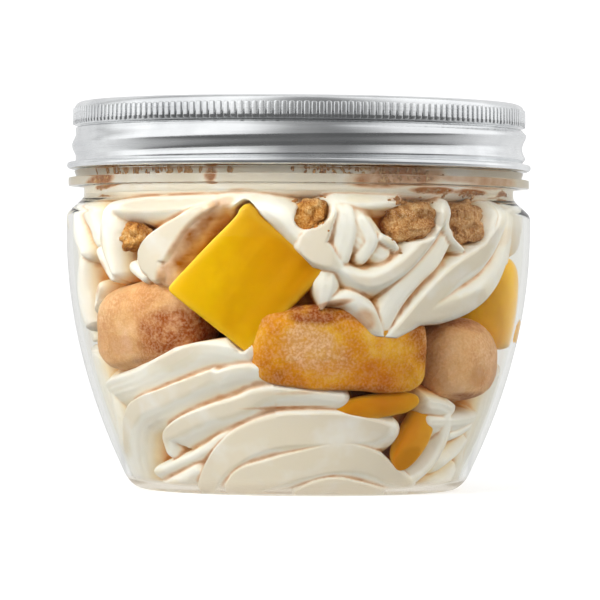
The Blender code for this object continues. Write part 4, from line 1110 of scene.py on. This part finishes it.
# %% Cut the mango
CUBE_ANGLE, CUBE_Z, CUBE_TILT, CUBE_LEAN = -14.3, 39.3, 46.0, 7.0
CUBE_SIZE, CUBE_CORNER, CUBE_CUTS = (20.9, 13.0, 18.2), 0.8, 40
CUBE_SET_BACK, CUBE_SKEW, CUBE_OFF_WALL = 2.2, -0.1, 0.1
# How far the painted highlight reaches on the lit side and along the edges, and how strong it is
# there and on the slices' rims
HIGHLIGHT_SIDE, HIGHLIGHT_EDGE, EDGE_HIGHLIGHT = 0.7, 1.6, 0.35
RIM_HIGHLIGHT, RIM_POWER = 0.8, 0.7
# As the ladyfingers: angle, height, half length, height and depth, tilt, squareness
SLICES = (
    ("mango_side", 81.2, 34.8, 5.8, 8.6, 5.5, 0.0, 4.0),
    ("mango_slice_upper", 24.8, 16.6, 8.8, 2.2, 1.9, 6.0, 2.3),
    ("mango_slice_lower", 39.8, 10.9, 6.9, 3.2, 2.1, 54.0, 2.4),
)


def rounded_block(size, corner, cuts):
    """Points and quads of a box with rounded edges, on a grid of cuts by cuts a face."""
    bm = bmesh.new()
    bmesh.ops.create_cube(bm, size=2)
    bmesh.ops.subdivide_edges(bm, edges=bm.edges, cuts=cuts, use_grid_fill=True)
    half = np.array(size) / 2
    points = np.array([v.co for v in bm.verts]) * half
    faces = [[v.index for v in f.verts] for f in bm.faces]
    bm.free()
    core = np.clip(points, -(half - corner), half - corner)
    out = points - core
    length = np.linalg.norm(out, axis=1)[:, None]
    return core + corner * out / np.maximum(length, 1e-9), faces


def fibre_swell(points, seed):
    """The slight waves of a cut across fibres."""
    return 0.12 * wavy(points, 2.5, seed)


cube_r = float(wall_inside(CUBE_Z)) - GAP - CUBE_SET_BACK - CUBE_SIZE[1] / 2
place = np.array(Matrix.Rotation(math.radians(CUBE_ANGLE), 4, "Z")
                 @ Matrix.Translation((0, -cube_r, CUBE_Z))
                 @ Matrix.Rotation(math.radians(-CUBE_TILT), 4, "Y")
                 @ Matrix.Rotation(math.radians(CUBE_LEAN), 4, "X"))
mangoes = {}
for seed, ending in ((2, ""), (6, "_back")):
    points, faces = rounded_block(CUBE_SIZE, CUBE_CORNER, CUBE_CUTS)
    # A painted highlight: paler on one side, where the light falls, and a little along the edges
    from_side = CUBE_SIZE[2] / 2 - points[:, 2]
    from_edge = np.sort(np.array(CUBE_SIZE) / 2 - np.abs(points), axis=1)[:, 1]
    pale = np.maximum(np.clip(1 - from_side / HIGHLIGHT_SIDE, 0, 1),
                      EDGE_HIGHLIGHT * np.clip(1 - from_edge / HIGHLIGHT_EDGE, 0, 1))
    points[:, 0] += CUBE_SKEW * points[:, 2]
    along = points * np.array([0.35, 1.0, 1.0])
    points = points + normals_of(points, faces) * (0.16 * wavy(along, 4.5, seed))[:, None]
    points = pressed(points @ place[:3, :3].T + place[:3, 3], -CUBE_OFF_WALL)
    block = mesh_piece("mango_block" + ending, mirrored(points) if ending else points, faces)
    mark_points(block, {"pale": pale})
    mangoes["mango_cube" + ending] = block
for name, *form in SLICES:
    for ending, piece in food_pair("cut_" + name, form, (5, 7), fibre_swell, subdivisions=5):
        mangoes[name + ending] = piece
        if "slice" in name:
            # A painted highlight on the rims, the more the surface turns away from the front
            frontward = np.abs([vertex.normal.y for vertex in piece.data.vertices])
            mark_points(piece, {"pale": RIM_HIGHLIGHT * (1 - frontward ** RIM_POWER)})
print(len(mangoes), "pieces of mango")

# %% [markdown]
# Ripe mango is moist and lets light in a little way, which comes out yellow, because the flesh
# takes up blue first. So red goes deepest in its subsurface radius. Its colour carries painted
# light and shade from left to right: yellow where lit on the left, painted shade that deepens it in
# the middle, and painted light that makes it bright again on the right, where light comes through
# the wall. Long fibres run through it and show as a shallow bump. Both cuts read a painted
# highlight from their points: the block on one side and its edges, a thin slice by how far it turns
# away from the front.

# %% Ripe mango flesh
def mango_material(name, stops, depth):
    """Moist fruit: painted light and shade from left to right, a painted highlight where marked, its
    fibres a bump.
    """
    material, tree, shader = new_material(
        name, Roughness=0.34, IOR=1.38, Subsurface_Weight=0.2, Subsurface_Scale=depth,
        Subsurface_Radius=(1.0, 0.45, 0.05), Specular_IOR_Level=0.15)
    place = add_node(tree, "ShaderNodeTexCoord")
    drift = add_node(tree, "ShaderNodeTexNoise", inputs={
        "Vector": place.outputs["Object"], "Scale": 150.0, "Detail": 3.0})
    sideways = add_node(tree, "ShaderNodeSeparateXYZ", inputs={0: place.outputs["Object"]})
    # Painted light and shade from left to right, by the place across the jar
    slope = add_node(tree, "ShaderNodeMapRange", inputs={
        "Value": sideways.outputs["X"], "From Min": -0.024, "From Max": 0.044, "To Min": -0.1,
        "To Max": 0.9})
    sum_up = add_node(tree, "ShaderNodeMath", {"operation": "MULTIPLY_ADD"}, {
        0: drift.outputs["Fac"], 1: 0.2, 2: slope.outputs[0]})
    tone = add_node(tree, "ShaderNodeValToRGB", {"stops": stops}, {"Fac": sum_up.outputs[0]})
    # A painted highlight, read from the points
    pale = add_node(tree, "ShaderNodeAttribute", {"attribute_name": "pale"})
    highlighted = add_node(tree, "ShaderNodeMix", {"data_type": "RGBA"}, {
        0: pale.outputs["Fac"], 6: tone.outputs["Color"], 7: linear("#F6D04A")})
    tree.links.new(highlighted.outputs[2], shader.inputs["Base Color"])
    stretch = add_node(tree, "ShaderNodeMapping", inputs={
        "Vector": place.outputs["Object"], "Rotation": (0, math.radians(40), 0),
        "Scale": (1, 1, 0.15)})
    fibres = add_node(tree, "ShaderNodeTexNoise", inputs={
        "Vector": stretch.outputs[0], "Scale": 900.0, "Detail": 3.0})
    bump = add_node(tree, "ShaderNodeBump", inputs={
        "Height": fibres.outputs["Fac"], "Strength": 0.25, "Distance": 0.00015})
    tree.links.new(bump.outputs[0], shader.inputs["Normal"])
    return material


# Its last stop is a painted light on the side piece at the right
flesh = mango_material("ripe_mango_flesh", [
    (0.02, "#EFBA0C"), (0.13, "#E2B000"), (0.2, "#D59C00"), (0.38, "#CC8600"), (0.5, "#CE8A00"),
    (0.9, "#FFC414")], 0.002)
thin_flesh = mango_material("thin_mango_slice", [
    (0.4, "#DE9C00"), (0.55, "#C47200"), (0.7, "#CE8200"), (0.85, "#DE9C00")], 0.0015)
for name, piece in mangoes.items():
    thin = "slice" in name
    dress(piece, thin_flesh if thin else flesh, "mango_slice" if thin else "mango", name)

# %% [markdown]
# ## Biscuit lumps
# Lumps broken from a crumbly biscuit sit in the upper cream. A broken lump is a cluster of grains,
# and one smooth noise would make it a potato. So three sizes of noise swell the ball, for the
# broken outline, the clumps and the grains, and pits part the clumps. The lumps on the left are
# more golden than those on the right, so two ramps of colour are mixed from left to right.

# %% Crumbly biscuit
crumb, tree, shader = new_material("biscuit_crumb", Roughness=0.8, Specular_IOR_Level=0.25)
place = add_node(tree, "ShaderNodeTexCoord")
clumps = add_node(tree, "ShaderNodeTexNoise", inputs={
    "Vector": place.outputs["Object"], "Scale": 480.0, "Detail": 2.0})
grain = add_node(tree, "ShaderNodeTexNoise", inputs={
    "Vector": place.outputs["Object"], "Scale": 3000.0, "Detail": 2.0})
both = add_node(tree, "ShaderNodeMath", {"operation": "ADD"}, {
    0: clumps.outputs["Fac"], 1: grain.outputs["Fac"]})
level = add_node(tree, "ShaderNodeMath", {"operation": "MULTIPLY"}, {0: both.outputs[0], 1: 0.5})
golden = add_node(tree, "ShaderNodeValToRGB", {"stops": [
    (0.38, "#96561E"), (0.47, "#B97A34"), (0.55, "#CC9650"), (0.64, "#DDB47C")]}, {
    "Fac": level.outputs[0]})
tan = add_node(tree, "ShaderNodeValToRGB", {"stops": [
    (0.38, "#8E5A30"), (0.47, "#AE7C4C"), (0.55, "#C09464"), (0.64, "#CFAC80")]}, {
    "Fac": level.outputs[0]})
sideways = add_node(tree, "ShaderNodeSeparateXYZ", inputs={0: place.outputs["Object"]})
turn_tan = add_node(tree, "ShaderNodeMapRange", inputs={
    "Value": sideways.outputs["X"], "From Min": 0.0, "From Max": 0.024})
tone = add_node(tree, "ShaderNodeMix", {"data_type": "RGBA"}, {
    0: turn_tan.outputs[0], 6: golden.outputs["Color"], 7: tan.outputs["Color"]})
tree.links.new(tone.outputs[2], shader.inputs["Base Color"])
bump = add_node(tree, "ShaderNodeBump", inputs={
    "Height": grain.outputs["Fac"], "Strength": 0.5, "Distance": 0.00015})
tree.links.new(bump.outputs[0], shader.inputs["Normal"])

# %% Break the lumps
# As the ladyfingers: angle, height, half length, height and depth, tilt, squareness
CHUNKS = (
    ("biscuit_chunk_1", -47.2, 46.4, 3.1, 2.4, 2.2, 35.0, 2.2),
    ("biscuit_chunk_2", 3.2, 50.2, 3.5, 2.3, 2.4, 25.0, 2.2),
    ("biscuit_chunk_3", 31.2, 49.1, 5.2, 3.5, 3.2, 10.0, 2.4),
    ("biscuit_chunk_4", 50.5, 48.9, 4.4, 4.0, 3.4, 0.0, 2.4),
)


def crumb_swell(points, seed):
    """The broken outline, clumps and grains, less the pits that part the clumps."""
    return (1.1 * wavy(points, 2.4, seed, 2) + 0.22 * wavy(points, 0.9, seed + 1, 2)
            + 0.12 * wavy(points, 0.33, seed, 2) - 0.35 * pits(points, 1.3, seed))


for name, *form in CHUNKS:
    for ending, lump in food_pair(name.replace("chunk", "lump"), form, (11, 14), crumb_swell):
        dress(lump, crumb, "biscuit", name + ending)

# %% [markdown]
# ## Loose crumbs
# Crumbs fall where the biscuit was broken: they line the neck under the lid, and a few lie beside
# the lumps. Placing hundreds by hand would look arranged, so Geometry Nodes scatter them over the
# upper cream where its points are marked for them, each one turned and sized at random, and the
# scatter becomes one plain mesh.

# %% Scatter crumbs with Geometry Nodes
CRUMB_INPUTS = (("Crumbs per square metre", "Float", 2.2e6), ("Crumb radius", "Float", 0.00034),
                ("Seed", "Int", 5))
scatter, given = new_nodes("loose_crumbs", "Cream", CRUMB_INPUTS)
marked = add_node(scatter, "GeometryNodeInputNamedAttribute", {"data_type": "FLOAT"}, {
    "Name": "crumbs"})
dense = add_node(scatter, "ShaderNodeMath", {"operation": "MULTIPLY"}, {
    0: marked.outputs["Attribute"], 1: given.outputs["Crumbs per square metre"]})
strewn = add_node(scatter, "GeometryNodeDistributePointsOnFaces", inputs={
    "Mesh": given.outputs["Cream"], "Density": dense.outputs[0], "Seed": given.outputs["Seed"]})
grain_ball = add_node(scatter, "GeometryNodeMeshIcoSphere", inputs={
    "Radius": given.outputs["Crumb radius"], "Subdivisions": 2})
where = add_node(scatter, "GeometryNodeInputPosition")
lumpy = add_node(scatter, "ShaderNodeTexNoise", inputs={
    "Vector": where.outputs[0], "Scale": 2600.0, "Detail": 1.0})
lumpiness = add_node(scatter, "ShaderNodeMath", {"operation": "MULTIPLY_ADD"}, {
    0: lumpy.outputs["Fac"], 1: 1.6, 2: -0.8})
pushed = add_node(scatter, "ShaderNodeVectorMath", {"operation": "SCALE"}, {
    0: where.outputs[0], "Scale": lumpiness.outputs[0]})
one_crumb = add_node(scatter, "GeometryNodeSetPosition", inputs={
    "Geometry": grain_ball.outputs[0], "Offset": pushed.outputs[0]})
any_turn = add_node(scatter, "FunctionNodeRandomValue", {"data_type": "FLOAT_VECTOR"}, {
    0: (-3.0, -3.0, -3.0), 1: (3.0, 3.0, 3.0), "Seed": given.outputs["Seed"]})
any_size = add_node(scatter, "FunctionNodeRandomValue", {"data_type": "FLOAT_VECTOR"}, {
    0: (0.4, 0.4, 0.4), 1: (1.6, 1.4, 1.2), "Seed": given.outputs["Seed"]})
laid = add_node(scatter, "GeometryNodeInstanceOnPoints", inputs={
    "Points": strewn.outputs["Points"], "Instance": one_crumb.outputs[0],
    "Rotation": any_turn.outputs[0], "Scale": any_size.outputs[0]})
plain = add_node(scatter, "GeometryNodeRealizeInstances", inputs={0: laid.outputs[0]})
rounded = add_node(scatter, "GeometryNodeSetShadeSmooth", inputs={0: plain.outputs[0]})
end_nodes(scatter, rounded.outputs[0], crumb)
crumbs = bpy.data.objects.new("loose_biscuit_crumbs", top_cream.data.copy())
scene.collection.objects.link(crumbs)
apply_nodes(crumbs, scatter, CRUMB_INPUTS)
dress(crumbs, crumb, "biscuit")
